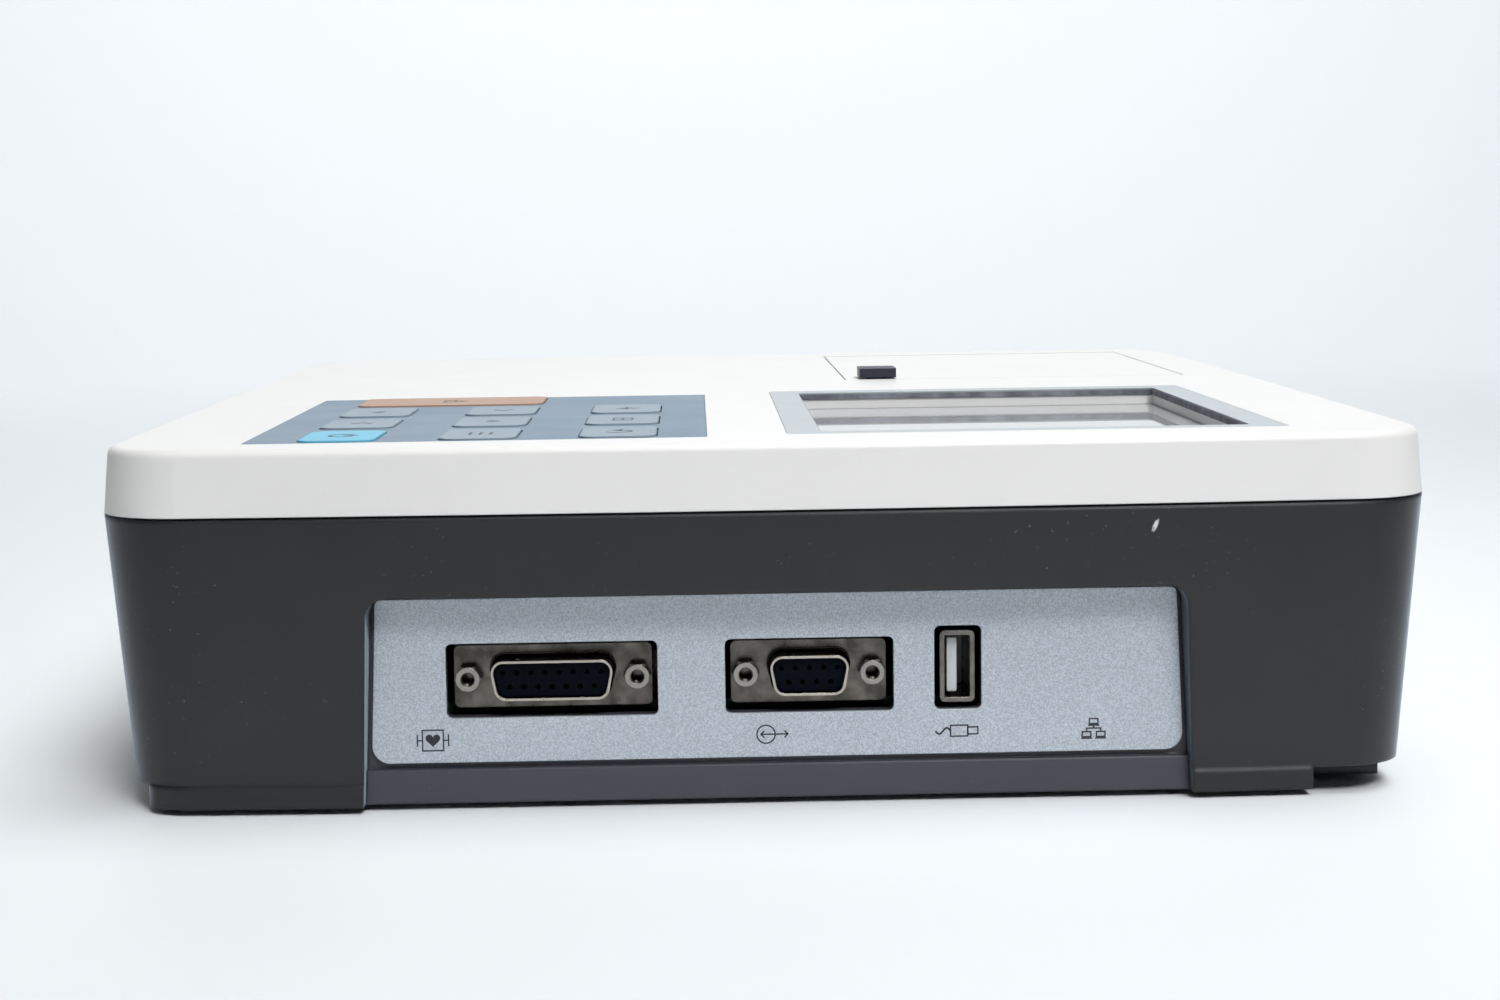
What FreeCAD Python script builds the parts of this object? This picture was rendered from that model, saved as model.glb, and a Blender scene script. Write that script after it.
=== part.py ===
import FreeCAD, Part
import math
import os
import re

import Sketcher

# A desktop electrocardiograph with a built-in strip printer, in millimetres.
# The origin lies on the table under the middle of the body. +Z is up, -Y faces the sockets,
# -X faces the operator, and the paper leaves through the +Y side.

SIZES = {
    # Body outline at the seam, and the walls
    "body_width": 263.0,
    "body_length": 300.0,
    "side_crown": 1.0,
    "end_crown": 3.0,
    "corner_radius": 17.5,
    "wall": 2.6,
    "fit_gap": 0.1,
    "moving_gap": 0.4,
    # Heights, from the table up
    "foot_proud": 1.2,
    "plinth_height": 4.4,
    "housing_height": 53.0,
    "seam_gap": 0.5,
    "cover_height": 13.0,
    # Bottom housing
    "housing_lean": 4.1,
    "floor_thickness": 3.0,
    "plinth_inset": 4.5,
    "plinth_proud": 0.4,
    "plinth_corner": 5.0,
    "plinth_notch_width": 20.7,
    "plinth_notch_length": 18.0,
    "well_near_setback": 21.0,
    "well_far_setback": 11.0,
    "well_radius": 9.0,
    "lip_height": 2.0,
    "lip_setback": 1.2,
    "foot_radius": 6.25,
    "foot_sunk": 1.0,
    "foot_inset": 33.0,
    "foot_setback": 20.0,
    # Screw posts between housing and cover
    "post_radius": 4.6,
    "post_height": 40.0,
    "post_inset": 18.0,
    "post_setback": 30.0,
    "far_post_inset": 12.0,
    "far_post_setback": 88.0,
    "screw_radius": 1.5,
    "screw_grip": 8.0,
    "screw_head_radius": 2.8,
    "screw_head_height": 2.0,
    "screw_head_sunk": 36.0,
    # Top cover
    "cover_lean": 1.2,
    "cover_plate": 2.5,
    "cover_edge_radius": 1.8,
    # Recess of the sockets and its panel
    "recess_middle": 1.5,
    "recess_top_width": 159.0,
    "recess_foot_width": 163.6,
    "recess_height": 41.6,
    "recess_depth": 8.5,
    "recess_corner": 4.0,
    "sill_height": 6.8,
    "sill_proud": 0.6,
    "panel_thickness": 1.0,
    "panel_gap": 1.1,
    "panel_corner": 3.5,
    "panel_top_corner": 1.2,
    "panel_rise": 1.2,
    "cutout_radius": 1.2,
    # D-shaped sockets
    "connector_rise": 24.2,
    "flange_sunk": 5.0,
    "flange_height": 12.5,
    "flange_thickness": 0.8,
    "flange_margin": 2.92,
    "flange_radius": 1.2,
    "cutout_margin": 1.15,
    "dshell_height": 7.9,
    "dshell_slant": 1.4,
    "dshell_radius": 2.4,
    "dshell_proud": 6.0,
    "dshell_wall": 0.5,
    "dshell_flare": 0.9,
    "insulator_sunk": 1.2,
    "insulator_back": 9.0,
    "contact_pitch": 2.76,
    "contact_row_gap": 2.84,
    "contact_radius": 0.55,
    "contact_depth": 4.0,
    "jack_flats": 4.8,
    "jack_proud": 3.5,
    "jack_face": 0.5,
    "jack_bore": 1.42,
    "jack_depth": 5.0,
    "patient_offset": -42.8,
    "patient_spacing": 33.3,
    "patient_shell_width": 24.7,
    "serial_offset": 7.7,
    "serial_spacing": 25.0,
    "serial_shell_width": 16.3,
    # Upright USB socket
    "usb_offset": 36.9,
    "usb_lift": 1.0,
    "usb_width": 5.7,
    "usb_height": 13.1,
    "usb_wall": 0.35,
    "usb_length": 17.0,
    "usb_sunk": 1.2,
    "usb_flare": 0.6,
    "usb_flare_thickness": 0.5,
    "usb_tongue_width": 1.95,
    "usb_tongue_height": 10.8,
    "usb_tongue_shift": 0.9,
    "usb_tongue_sunk": 2.0,
    "usb_back": 3.0,
    "usb_cutout_gap": 1.2,
    # Keypad
    "overlay_inset": 28.6,
    "overlay_width": 91.2,
    "overlay_near": 14.4,
    "overlay_length": 113.8,
    "overlay_thickness": 0.5,
    "overlay_radius": 1.0,
    "key_inset": 39.1,
    "key_near": 15.6,
    "key_width": 15.2,
    "key_length": 22.8,
    "key_pitch_across": 27.75,
    "key_pitch_along": 29.5,
    "start_key_near": 104.1,
    "key_radius": 3.0,
    "key_gap": 0.3,
    "key_proud": 0.3,
    "key_flange": 1.0,
    "key_flange_thickness": 1.0,
    "plunger_radius": 2.0,
    "plunger_length": 1.5,
    "key_travel": 0.5,
    "switch_width": 6.0,
    "switch_height": 3.5,
    "button_radius": 1.7,
    "button_height": 0.8,
    "board_thickness": 1.6,
    "keypad_board_margin": 2.6,
    # Display, which takes the width that the keypad and the gap beside it leave
    "display_inset": 27.2,
    "display_gap": 16.0,
    "display_width": "=body_width - overlay_inset - overlay_width - display_gap - display_inset",
    "display_near": 17.8,
    "display_length": 117.4,
    "display_side_margin": 6.8,
    "display_near_margin": 5.2,
    "display_far_margin": 6.9,
    "bezel_thickness": 0.4,
    "bezel_radius": 1.5,
    "display_well": 4.0,
    "display_rim": 2.0,
    "glass_thickness": 1.5,
    "lcd_thickness": 6.0,
    # Printer bay and its frame
    "bay_inset": 61.9,
    "bay_width": 83.0,
    "side_plate": 2.5,
    "frame_near_setback": 124.0,
    "frame_far_setback": 6.8,
    "frame_top_drop": 6.4,
    "frame_radius": 1.5,
    "tray_gap": 3.0,
    "tray_wall": 2.2,
    "deck_drop": 18.0,
    "deck_thickness": 2.0,
    "crossbar_height": 5.0,
    "crossbar_depth": 4.5,
    "frame_foot_width": 12.0,
    # Paper roll
    "roll_setback": 66.0,
    "roll_rise": 33.8,
    "roll_radius": 22.0,
    "roll_width": 80.0,
    "axle_radius": 6.0,
    "axle_end_radius": 4.0,
    "axle_slot_gap": 0.3,
    # Platen, gears and motor
    "platen_setback": 14.5,
    "platen_drop": 14.7,
    "platen_radius": 7.0,
    "platen_length": 81.0,
    "shaft_radius": 2.5,
    "running_gap": 0.05,
    "gear_module": 0.8,
    "gear_width": 4.5,
    "gear_standoff": 1.4,
    "gear_backlash": 0.16,
    "pressure_angle": 20.0,
    "tooth_tip": "=0.9 * gear_module",
    "tooth_root": "=1.2 * gear_module",
    "platen_teeth": 20,
    "idler_teeth": 20,
    "pinion_teeth": 15,
    "idler_angle": 250.0,
    "pinion_angle": 265.0,
    "idler_pin_radius": 2.0,
    "motor_radius": 12.5,
    "motor_length": 20.0,
    "motor_shaft_radius": 1.5,
    "motor_collar_radius": 4.0,
    # Print head and tear bar
    "head_gap": 0.3,
    "head_thickness": 1.0,
    "head_length": 10.0,
    "head_sink_thickness": 2.8,
    "head_sink_near": 4.0,
    "head_sink_far": 6.5,
    "tear_thickness": 0.8,
    "tear_pitch": 2.0,
    "slot_rise": 3.0,
    "slot_height": 5.0,
    # Printer door, hinge and latch
    "hinge_setback": 22.5,
    "barrel_radius": 2.7,
    "hinge_pin_radius": 1.0,
    "hinge_lug_width": 4.0,
    "hinge_lug_radius": 3.4,
    "door_length": 104.0,
    "door_thickness": 2.4,
    "door_rib_width": 2.0,
    "door_rib_height": 3.0,
    "door_ledge_width": 2.0,
    "door_ledge_thickness": 1.2,
    "latch_left": 3.6,
    "latch_width": 9.6,
    "latch_length": 11.0,
    "latch_near": 0.6,
    "latch_proud": 2.8,
    "latch_neck_width": 5.0,
    "latch_neck_length": 4.0,
    "latch_neck_near": 6.0,
    "latch_travel": 4.0,
    "latch_bolt_thickness": 1.6,
    "latch_ridge": 0.6,
    # Boards, battery and mains inlet
    "main_board_margin": 26.0,
    "main_board_setback": 3.0,
    "main_board_right_inset": 68.0,
    "main_board_far": 170.0,
    "board_hole_inset": 6.0,
    "board_boss_radius": 3.5,
    "board_screw_radius": 1.2,
    "board_screw_grip": 5.0,
    "shield_width": 46.0,
    "shield_length": 34.0,
    "shield_height": 6.0,
    "processor_size": 20.0,
    "processor_height": 1.6,
    "power_board_inset": 24.0,
    "power_board_width": 40.0,
    "power_board_near": 52.0,
    "power_board_length": 116.0,
    "power_board_lift": 6.0,
    "transformer_width": 30.0,
    "transformer_length": 26.0,
    "transformer_height": 20.0,
    "capacitor_radius": 7.0,
    "capacitor_height": 18.0,
    "battery_width": 70.0,
    "battery_length": 74.0,
    "battery_height": 20.0,
    "battery_radius": 5.0,
    "battery_inset": 66.0,
    "battery_setback": 72.0,
    "battery_gap": 1.0,
    "battery_lip": 6.0,
    "battery_cover_thickness": 2.0,
    "battery_fence_wall": 1.6,
    "battery_fence_height": 12.0,
    "inlet_setback": 90.0,
    "inlet_rise": 24.0,
    "inlet_seat": 3.6,
    "inlet_flange_width": 31.4,
    "inlet_flange_height": 23.4,
    "inlet_flange_thickness": 2.0,
    "inlet_body_width": 27.0,
    "inlet_body_height": 19.4,
    "inlet_body_depth": 18.0,
    "inlet_socket_width": 24.2,
    "inlet_socket_height": 16.4,
    "inlet_socket_depth": 16.5,
    "inlet_chamfer": 5.0,
    "inlet_pin_width": 2.0,
    "inlet_pin_height": 4.0,
    "inlet_pin_spread": 7.0,
    "inlet_pin_shift": 2.0,
    "inlet_pin_sunk": 2.0,
    "inlet_tab": 7.0,
}

doc = FreeCAD.newDocument("Electrocardiograph")
sheet = doc.addObject("Spreadsheet::Sheet", "Sizes")
for row, (alias, size) in enumerate(SIZES.items(), start=1):
    sheet.set(f"A{row}", alias)
    sheet.set(f"B{row}", str(size))
    sheet.setAlias(f"B{row}", alias)
doc.recompute()

# Levels and planes that many pieces share, as formulas over the sheet
LEFT = "-body_width / 2"
RIGHT = "body_width / 2"
NEAR = "-body_length / 2"
FAR = "body_length / 2"
UNDERSIDE = "foot_proud + plinth_height"
FLOOR = "foot_proud + floor_thickness"
RIM = f"{UNDERSIDE} + housing_height"
COVER_LOW = f"{RIM} + seam_gap"
TOP = f"{COVER_LOW} + cover_height"
PLATE_LOW = f"{TOP} - cover_plate"
POST_TOP = f"{FLOOR} + post_height"
SCREW_SEAT = "foot_proud + screw_head_sunk"
RECESS_TOP = "foot_proud + recess_height"
PANEL_FACE = f"{NEAR} + recess_depth"
PANEL_BACK = f"{PANEL_FACE} + panel_thickness"
CONNECTOR_Z = "foot_proud + connector_rise"
FLANGE_Y = f"{PANEL_FACE} + flange_sunk"
BOARD_TOP = f"{CONNECTOR_Z} - flange_height / 2"
USB_Z = f"{CONNECTOR_Z} + usb_lift"
USB_Y = f"{PANEL_FACE} + usb_sunk"
GLASS_TOP = f"{TOP} - display_well"
OVERLAY_LEFT = f"{LEFT} + overlay_inset"
OVERLAY_RIGHT = f"{OVERLAY_LEFT} + overlay_width"
KEY_LEFT = f"{LEFT} + key_inset"
DISPLAY_RIGHT = f"{RIGHT} - display_inset"
DISPLAY_LEFT = f"{DISPLAY_RIGHT} - display_width"
KEY_FLANGE_TOP = f"{PLATE_LOW} - key_gap"
SWITCH_TOP = f"{KEY_FLANGE_TOP} - key_flange_thickness - plunger_length - key_travel - key_gap"
KEYPAD_BOARD_TOP = f"{SWITCH_TOP} - button_height - switch_height"
BAY_X = f"{RIGHT} - bay_inset"
FRAME_LEFT = f"{BAY_X} - bay_width / 2 - side_plate"
FRAME_RIGHT = f"{BAY_X} + bay_width / 2 + side_plate"
FRAME_NEAR = f"{FAR} - frame_near_setback"
FRAME_FAR = f"{FAR} - frame_far_setback"
FRAME_FOOT_FAR = f"{FRAME_FAR} - housing_lean - wall / 2"
FRAME_TOP = f"{TOP} - frame_top_drop"
FRAME_LOW = f"{UNDERSIDE} + floor_thickness"
ROLL_Y = f"{FAR} - roll_setback"
ROLL_Z = f"{FLOOR} + roll_rise"
PLATEN_Y = f"{FAR} - platen_setback"
PLATEN_Z = f"{TOP} - platen_drop"
NIP_Z = f"{PLATEN_Z} + platen_radius"
DECK_TOP = f"{TOP} - deck_drop"
GEAR_X = f"{FRAME_LEFT} - gear_standoff - gear_width"
HINGE_Y = f"{FAR} - hinge_setback"
HINGE_Z = f"{TOP} - barrel_radius"
DOOR_NEAR = f"{HINGE_Y} - door_length"
DOOR_LOW = f"{TOP} - door_thickness"
LATCH_X = f"{FRAME_LEFT} + latch_left + latch_width / 2"
BATTERY_X = f"{LEFT} + battery_inset"
BATTERY_Y = f"{FAR} - battery_setback"
BATTERY_LOW = "foot_proud + battery_cover_thickness"
INLET_X = f"{RIGHT} - inlet_seat"
INLET_Y = f"{NEAR} + inlet_setback"
INLET_Z = f"{UNDERSIDE} + inlet_rise"
POWER_BOARD_LOW = f"{FLOOR} + power_board_lift"
MAIN_BOARD_LOW = f"{BOARD_TOP} - board_thickness"

POSTS = [
    (f"{LEFT} + post_inset", f"{NEAR} + post_setback"),
    (f"{RIGHT} - post_inset", f"{NEAR} + post_setback"),
    (f"{LEFT} + post_inset", f"{FAR} - post_setback"),
    (f"{RIGHT} - far_post_inset", f"{FAR} - far_post_setback"),
]
FEET = [
    (f"{side} * (body_width / 2 - foot_inset)", f"{end} * (body_length / 2 - foot_setback)")
    for side in (-1, 1)
    for end in (-1, 1)
]
OUT_OF_THE_WAY = "body_width + body_length"

# Each plane's origin feature, and which way its normal points along the matching axis
PLANES = {"XY": ("XY_Plane", 1), "XZ": ("XZ_Plane", -1), "YZ": ("YZ_Plane", 1)}
sub_parts = []


def formula(text):
    """Gives each size's name in a formula the sheet's name in front."""
    return re.sub(r"[a-z_]+", lambda word: f"Sizes.{word[0]}" if word[0] in SIZES else word[0], text)


def number(text):
    """A formula's value at the sheet's present sizes."""
    return float(sheet.evalExpression(formula(text)))


def named(piece, label):
    """Labels a finished sub-part, so that it is written to a file of that name."""
    piece.Label = label
    sub_parts.append(piece)
    return piece


def new_body(label):
    return named(doc.addObject("PartDesign::Body", label), label)


def rectangle(x, y, width, length, radius=None):
    """A rectangle round a middle point, with its corners rounded where a radius is given."""
    half_width, half_length = f"({width}) / 2", f"({length}) / 2"
    return span(
        f"{x} - {half_width}", f"{x} + {half_width}", f"{y} - {half_length}", f"{y} + {half_length}", radius
    )


def span(low_x, high_x, low_y, high_y, radius=None):
    """A rectangle between two pairs of levels."""
    return polygon([(low_x, low_y), (high_x, low_y), (high_x, high_y), (low_x, high_y)], radius)


def polygon(points, radius=None):
    """An outline through some points, with one radius for every corner or a list with one for each."""
    return {"points": points, "radius": radius}


def circle(x, y, radius):
    return {"middle": (x, y), "radius": radius}


def bind(sketch, kind, references, value):
    """Adds one dimension to a sketch and ties it to a formula."""
    index = sketch.addConstraint(Sketcher.Constraint(kind, *references, number(value)))
    sketch.setExpression(f"Constraints[{index}]", formula(value))


def bind_point(sketch, geometry, place, x, y):
    bind(sketch, "DistanceX", (-1, 1, geometry, place), x)
    bind(sketch, "DistanceY", (-1, 1, geometry, place), y)


def draw_circle(sketch, outline):
    x, y = outline["middle"]
    radius = outline["radius"]
    middle = FreeCAD.Vector(number(x), number(y), 0)
    index = sketch.addGeometry(Part.Circle(middle, FreeCAD.Vector(0, 0, 1), number(radius)), False)
    bind_point(sketch, index, 3, x, y)
    bind(sketch, "Radius", (index,), radius)


def draw_sharp(sketch, outline):
    """Straight lines through the points, each point tied to its formulas."""
    points = outline["points"]
    corners = [FreeCAD.Vector(number(x), number(y), 0) for x, y in points]
    first = sketch.GeometryCount
    count = len(points)
    sketch.addGeometry(
        [Part.LineSegment(corners[i], corners[(i + 1) % count]) for i in range(count)], False
    )
    for i, (x, y) in enumerate(points):
        before = first + (i - 1) % count
        sketch.addConstraint(Sketcher.Constraint("Coincident", before, 2, first + i, 1))
        bind_point(sketch, first + i, 1, x, y)


def draw_rounded(sketch, outline):
    """Straight lines with an arc in every corner. The lines pass through the tied corner points."""
    points = outline["points"]
    count = len(points)
    radii = outline["radius"] if isinstance(outline["radius"], list) else [outline["radius"]] * count
    corners = [FreeCAD.Vector(number(x), number(y), 0) for x, y in points]
    bends = []
    for i, corner in enumerate(corners):
        radius = number(radii[i])
        back = (corners[i - 1] - corner).normalize()
        ahead = (corners[(i + 1) % count] - corner).normalize()
        half = back.getAngle(ahead) / 2
        middle = corner + (back + ahead).normalize() * (radius / math.sin(half))
        reach = radius / math.tan(half)
        bends.append((corner + back * reach, corner + ahead * reach, middle, radius))
    first = sketch.GeometryCount
    sketch.addGeometry(
        [Part.LineSegment(bends[i][1], bends[(i + 1) % count][0]) for i in range(count)], False
    )
    ties = []
    for i, (start, end, middle, radius) in enumerate(bends):
        angles = [math.atan2(point.y - middle.y, point.x - middle.x) for point in (start, end)]
        turns_left = (angles[1] - angles[0]) % (2 * math.pi) < math.pi
        ordered = angles if turns_left else angles[::-1]
        arc = sketch.addGeometry(
            Part.ArcOfCircle(Part.Circle(middle, FreeCAD.Vector(0, 0, 1), radius), *ordered), False
        )
        start_end = (1, 2) if turns_left else (2, 1)
        ties.append(Sketcher.Constraint("Tangent", first + (i - 1) % count, 2, arc, start_end[0]))
        ties.append(Sketcher.Constraint("Tangent", first + i, 1, arc, start_end[1]))
    sketch.addGeometry([Part.Point(corner) for corner in corners], True)
    for i in range(count):
        point = first + 2 * count + i
        ties.append(Sketcher.Constraint("PointOnObject", point, 1, first + (i - 1) % count))
        ties.append(Sketcher.Constraint("PointOnObject", point, 1, first + i))
    sketch.addConstraint(ties)
    for i, (x, y) in enumerate(points):
        bind(sketch, "Radius", (first + count + i,), radii[i])
        bind_point(sketch, first + 2 * count + i, 1, x, y)


def draw(sketch, outline):
    if "middle" in outline:
        draw_circle(sketch, outline)
    elif outline["radius"] is None:
        draw_sharp(sketch, outline)
    else:
        draw_rounded(sketch, outline)


def sketch_on(body, name, plane, level):
    """A new sketch parallel to one of the body's own origin planes, at a level along its axis."""
    role, sign = PLANES[plane]
    sketch = body.newObject("Sketcher::SketchObject", name)
    support = next(feature for feature in body.Origin.OriginFeatures if feature.Role == role)
    sketch.AttachmentSupport = [(support, "")]
    sketch.MapMode = "FlatFace"
    sketch.setExpression(".AttachmentOffset.Base.z", formula(f"{sign} * ({level})"))
    return sketch


def lifted(body, name, sketch, low, high, cut, backwards):
    """Pads a sketch, or cuts with it, by the distance between two levels."""
    feature = body.newObject("PartDesign::Pocket" if cut else "PartDesign::Pad", name)
    feature.Profile = sketch
    feature.setExpression("Length", formula(f"({high}) - ({low})"))
    feature.Reversed = backwards
    feature.Refine = False
    return feature


def prism(body, name, plane, low, high, outlines, cut=False):
    """Pads or cuts the outlines between two levels of a plane's axis."""
    sketch = sketch_on(body, f"{name}_outline", plane, low)
    for outline in outlines:
        draw(sketch, outline)
    return lifted(body, name, sketch, low, high, cut, (plane == "XZ") != cut)


def body_outline(sketch, inset):
    """The body's plan: four crowned sides joined by tangent corner arcs, all set in by one amount."""
    crown_x = "((body_length / 2)^2 + side_crown^2) / (2 * side_crown)"
    crown_y = "((body_width / 2)^2 + end_crown^2) / (2 * end_crown)"
    middle_x = f"body_width / 2 - {crown_x}"
    middle_y = f"body_length / 2 - {crown_y}"
    side_x, side_y, corner = (f"{radius} - ({inset})" for radius in (crown_x, crown_y, "corner_radius"))
    radius_x, radius_y, bend = number(side_x), number(side_y), number(corner)
    from_x, from_y = number(middle_x), number(middle_y)
    # The corner's middle lies on a circle round each side's middle; a few rounds settle where they cross
    bend_x = number("body_width / 2 - corner_radius")
    bend_y = number("body_length / 2 - corner_radius")
    for _ in range(30):
        bend_x = from_x + math.sqrt((radius_x - bend) ** 2 - bend_y**2)
        bend_y = from_y + math.sqrt((radius_y - bend) ** 2 - bend_x**2)
    side_turn = math.atan2(bend_y, bend_x - from_x)
    end_turn = math.atan2(bend_y - from_y, bend_x)
    half = math.pi / 2
    arcs = []
    for quarter in range(4):
        along_x = quarter % 2 == 0
        sign = 1 if quarter < 2 else -1
        spread = side_turn if along_x else half - end_turn
        middle = FreeCAD.Vector(sign * from_x, 0, 0) if along_x else FreeCAD.Vector(0, sign * from_y, 0)
        side_radius = radius_x if along_x else radius_y
        arcs.append((middle, side_radius, quarter * half - spread, quarter * half + spread))
        bend_sign_x = 1 if quarter in (0, 3) else -1
        bend_sign_y = 1 if quarter < 2 else -1
        next_spread = half - end_turn if along_x else side_turn
        arcs.append(
            (
                FreeCAD.Vector(bend_sign_x * bend_x, bend_sign_y * bend_y, 0),
                bend,
                quarter * half + spread,
                (quarter + 1) * half - next_spread,
            )
        )
    first = sketch.GeometryCount
    up = FreeCAD.Vector(0, 0, 1)
    sketch.addGeometry([Part.ArcOfCircle(Part.Circle(m, up, r), a, b) for m, r, a, b in arcs], False)
    sketch.addConstraint(
        [Sketcher.Constraint("Tangent", first + i, 2, first + (i + 1) % 8, 1) for i in range(8)]
    )
    for quarter in range(4):
        side = first + 2 * quarter
        along_x = quarter % 2 == 0
        sign = "" if quarter < 2 else "-"
        side_middle = (f"{sign}({middle_x})", "0") if along_x else ("0", f"{sign}({middle_y})")
        bind_point(sketch, side, 3, *side_middle)
        bind(sketch, "Radius", (side,), side_x if along_x else side_y)
        bind(sketch, "Radius", (side + 1,), corner)


def body_block(body, name, low, low_inset, high, high_inset, cut=False):
    """A drafted block of the body's plan between two levels, inset by some amount at each."""
    sketch = sketch_on(body, f"{name}_outline", "XY", low)
    body_outline(sketch, low_inset)
    feature = lifted(body, name, sketch, low, high, cut, cut)
    lean = f"(({low_inset}) - ({high_inset})) / (({high}) - ({low}))"
    feature.setExpression("TaperAngle", formula(f"atan({lean})"))
    return feature


def body_ring(body, name, low, high, insets):
    """A straight ring between two insets of the body's plan."""
    sketch = sketch_on(body, f"{name}_outline", "XY", low)
    for inset in insets:
        body_outline(sketch, inset)
    return lifted(body, name, sketch, low, high, False, False)


def round_edges(body, name, radius, wanted):
    """Rounds the edges of the body so far that a test picks."""
    doc.recompute()
    base = body.Tip
    picked = [f"Edge{i}" for i, edge in enumerate(base.Shape.Edges, start=1) if wanted(edge)]
    feature = body.newObject("PartDesign::Fillet", name)
    feature.Base = (base, picked)
    feature.Refine = False
    feature.setExpression("Radius", formula(radius))
    return feature


def lean_at(level):
    """How far the housing's wall has leaned in at a level."""
    return f"housing_lean * ({RIM} - ({level})) / housing_height"


def grow(outline_of, gap):
    """An outline's width, length and radius, each grown by a gap all round."""
    x, y, width, length, radius = outline_of
    return rectangle(x, y, f"{width} + 2 * ({gap})", f"{length} + 2 * ({gap})", f"{radius} + {gap}")


def key_places():
    """Each key's label with its middle, width, length and corner radius."""
    places = {}
    for row in range(3):
        for column in range(3):
            label = "blue_key" if row == column == 0 else f"grey_key_{3 * row + column}"
            x = f"{KEY_LEFT} + key_width / 2 + {column} * key_pitch_across"
            y = f"{NEAR} + key_near + key_length / 2 + {row} * key_pitch_along"
            places[label] = (x, y, "key_width", "key_length", "key_radius")
    start_x = f"{KEY_LEFT} + (key_width + key_pitch_across) / 2"
    start_y = f"{NEAR} + start_key_near + key_length / 2"
    places["start_key"] = (start_x, start_y, "key_width + key_pitch_across", "key_length", "key_radius")
    return places


def overlay_outline(gap="0"):
    return span(
        f"{OVERLAY_LEFT} - ({gap})",
        f"{OVERLAY_RIGHT} + ({gap})",
        f"{NEAR} + overlay_near - ({gap})",
        f"{NEAR} + overlay_near + overlay_length + ({gap})",
        f"overlay_radius + ({gap})",
    )


def display_outline(gap="0"):
    return span(
        f"{DISPLAY_LEFT} - ({gap})",
        f"{DISPLAY_RIGHT} + ({gap})",
        f"{NEAR} + display_near - ({gap})",
        f"{NEAR} + display_near + display_length + ({gap})",
        f"bezel_radius + ({gap})",
    )


def window_outline(gap="0", radius="bezel_radius"):
    """The clear opening of the display, grown by a gap."""
    return span(
        f"{DISPLAY_LEFT} + display_side_margin - ({gap})",
        f"{DISPLAY_RIGHT} - display_side_margin + ({gap})",
        f"{NEAR} + display_near + display_near_margin - ({gap})",
        f"{NEAR} + display_near + display_length - display_far_margin + ({gap})",
        radius,
    )


def battery_outline(gap):
    return rectangle(
        BATTERY_X,
        BATTERY_Y,
        f"battery_width + 2 * ({gap})",
        f"battery_length + 2 * ({gap})",
        f"battery_radius + ({gap})",
    )


def battery_screw_places():
    """Two screws in the battery cover's lip, on the two ends."""
    reach = "battery_length / 2 + battery_gap + battery_lip / 2"
    return [(BATTERY_X, f"{BATTERY_Y} - ({reach})"), (BATTERY_X, f"{BATTERY_Y} + ({reach})")]


def recess_half(level):
    """Half the recess's width at a level, between its slanting sides."""
    slope = "(recess_foot_width - recess_top_width) / 2 / (recess_height + 2 * recess_corner)"
    return f"recess_top_width / 2 + {slope} * ({RECESS_TOP} - ({level}))"


def recess_outline(low, high, gap, radius=None):
    """The recess's outline between two levels, with its slanting sides set in by a gap."""
    low_half, high_half = (f"{recess_half(level)} - {gap}" for level in (low, high))
    return polygon(
        [
            (f"recess_middle - ({low_half})", low),
            (f"recess_middle + {low_half}", low),
            (f"recess_middle + {high_half}", high),
            (f"recess_middle - ({high_half})", high),
        ],
        radius,
    )


def socket_cutouts():
    """The panel's openings: one round each D-shaped flange and one round the USB socket."""
    cutouts = []
    for name in ("patient", "serial"):
        cutouts.append(
            rectangle(
                f"{name}_offset",
                CONNECTOR_Z,
                f"{name}_spacing + 2 * (flange_margin + cutout_margin)",
                "flange_height + 2 * cutout_margin",
                "cutout_radius",
            )
        )
    usb_gap = "2 * (usb_flare + usb_cutout_gap)"
    cutouts.append(
        rectangle("usb_offset", USB_Z, f"usb_width + {usb_gap}", f"usb_height + {usb_gap}", "cutout_radius")
    )
    return cutouts


def board_bosses(low_x, high_x, low_y, high_y):
    """The four screw places of a board, in from its corners."""
    return [
        (x, y)
        for x in (f"{low_x} + board_hole_inset", f"{high_x} - board_hole_inset")
        for y in (f"{low_y} + board_hole_inset", f"{high_y} - board_hole_inset")
    ]


MAIN_BOARD = (
    f"{LEFT} + main_board_margin",
    f"{RIGHT} - main_board_right_inset",
    f"{FLANGE_Y} + flange_thickness + main_board_setback",
    f"{NEAR} + main_board_far",
)
POWER_BOARD = (
    f"{RIGHT} - power_board_inset - power_board_width",
    f"{RIGHT} - power_board_inset",
    f"{NEAR} + power_board_near",
    f"{NEAR} + power_board_near + power_board_length",
)
# The main board's near screws stand behind the sockets' rear blocks
MAIN_SCREWS = board_bosses(*MAIN_BOARD[:2], f"{MAIN_BOARD[2]} + insulator_back", MAIN_BOARD[3])
POWER_SCREWS = board_bosses(*POWER_BOARD)
FRAME_SCREWS = [
    (x, f"{y} {toward} frame_foot_width / 2")
    for x in (
        f"{FRAME_LEFT} + side_plate + frame_foot_width / 2",
        f"{FRAME_RIGHT} - side_plate - frame_foot_width / 2",
    )
    for y, toward in ((FRAME_NEAR, "+"), (FRAME_FOOT_FAR, "-"))
]


def circles(places, radius):
    return [circle(x, y, radius) for x, y in places]


def tubes(places):
    """Screw bosses with a pilot hole down their middle."""
    return circles(places, "board_boss_radius") + circles(places, "board_screw_radius")


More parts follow.
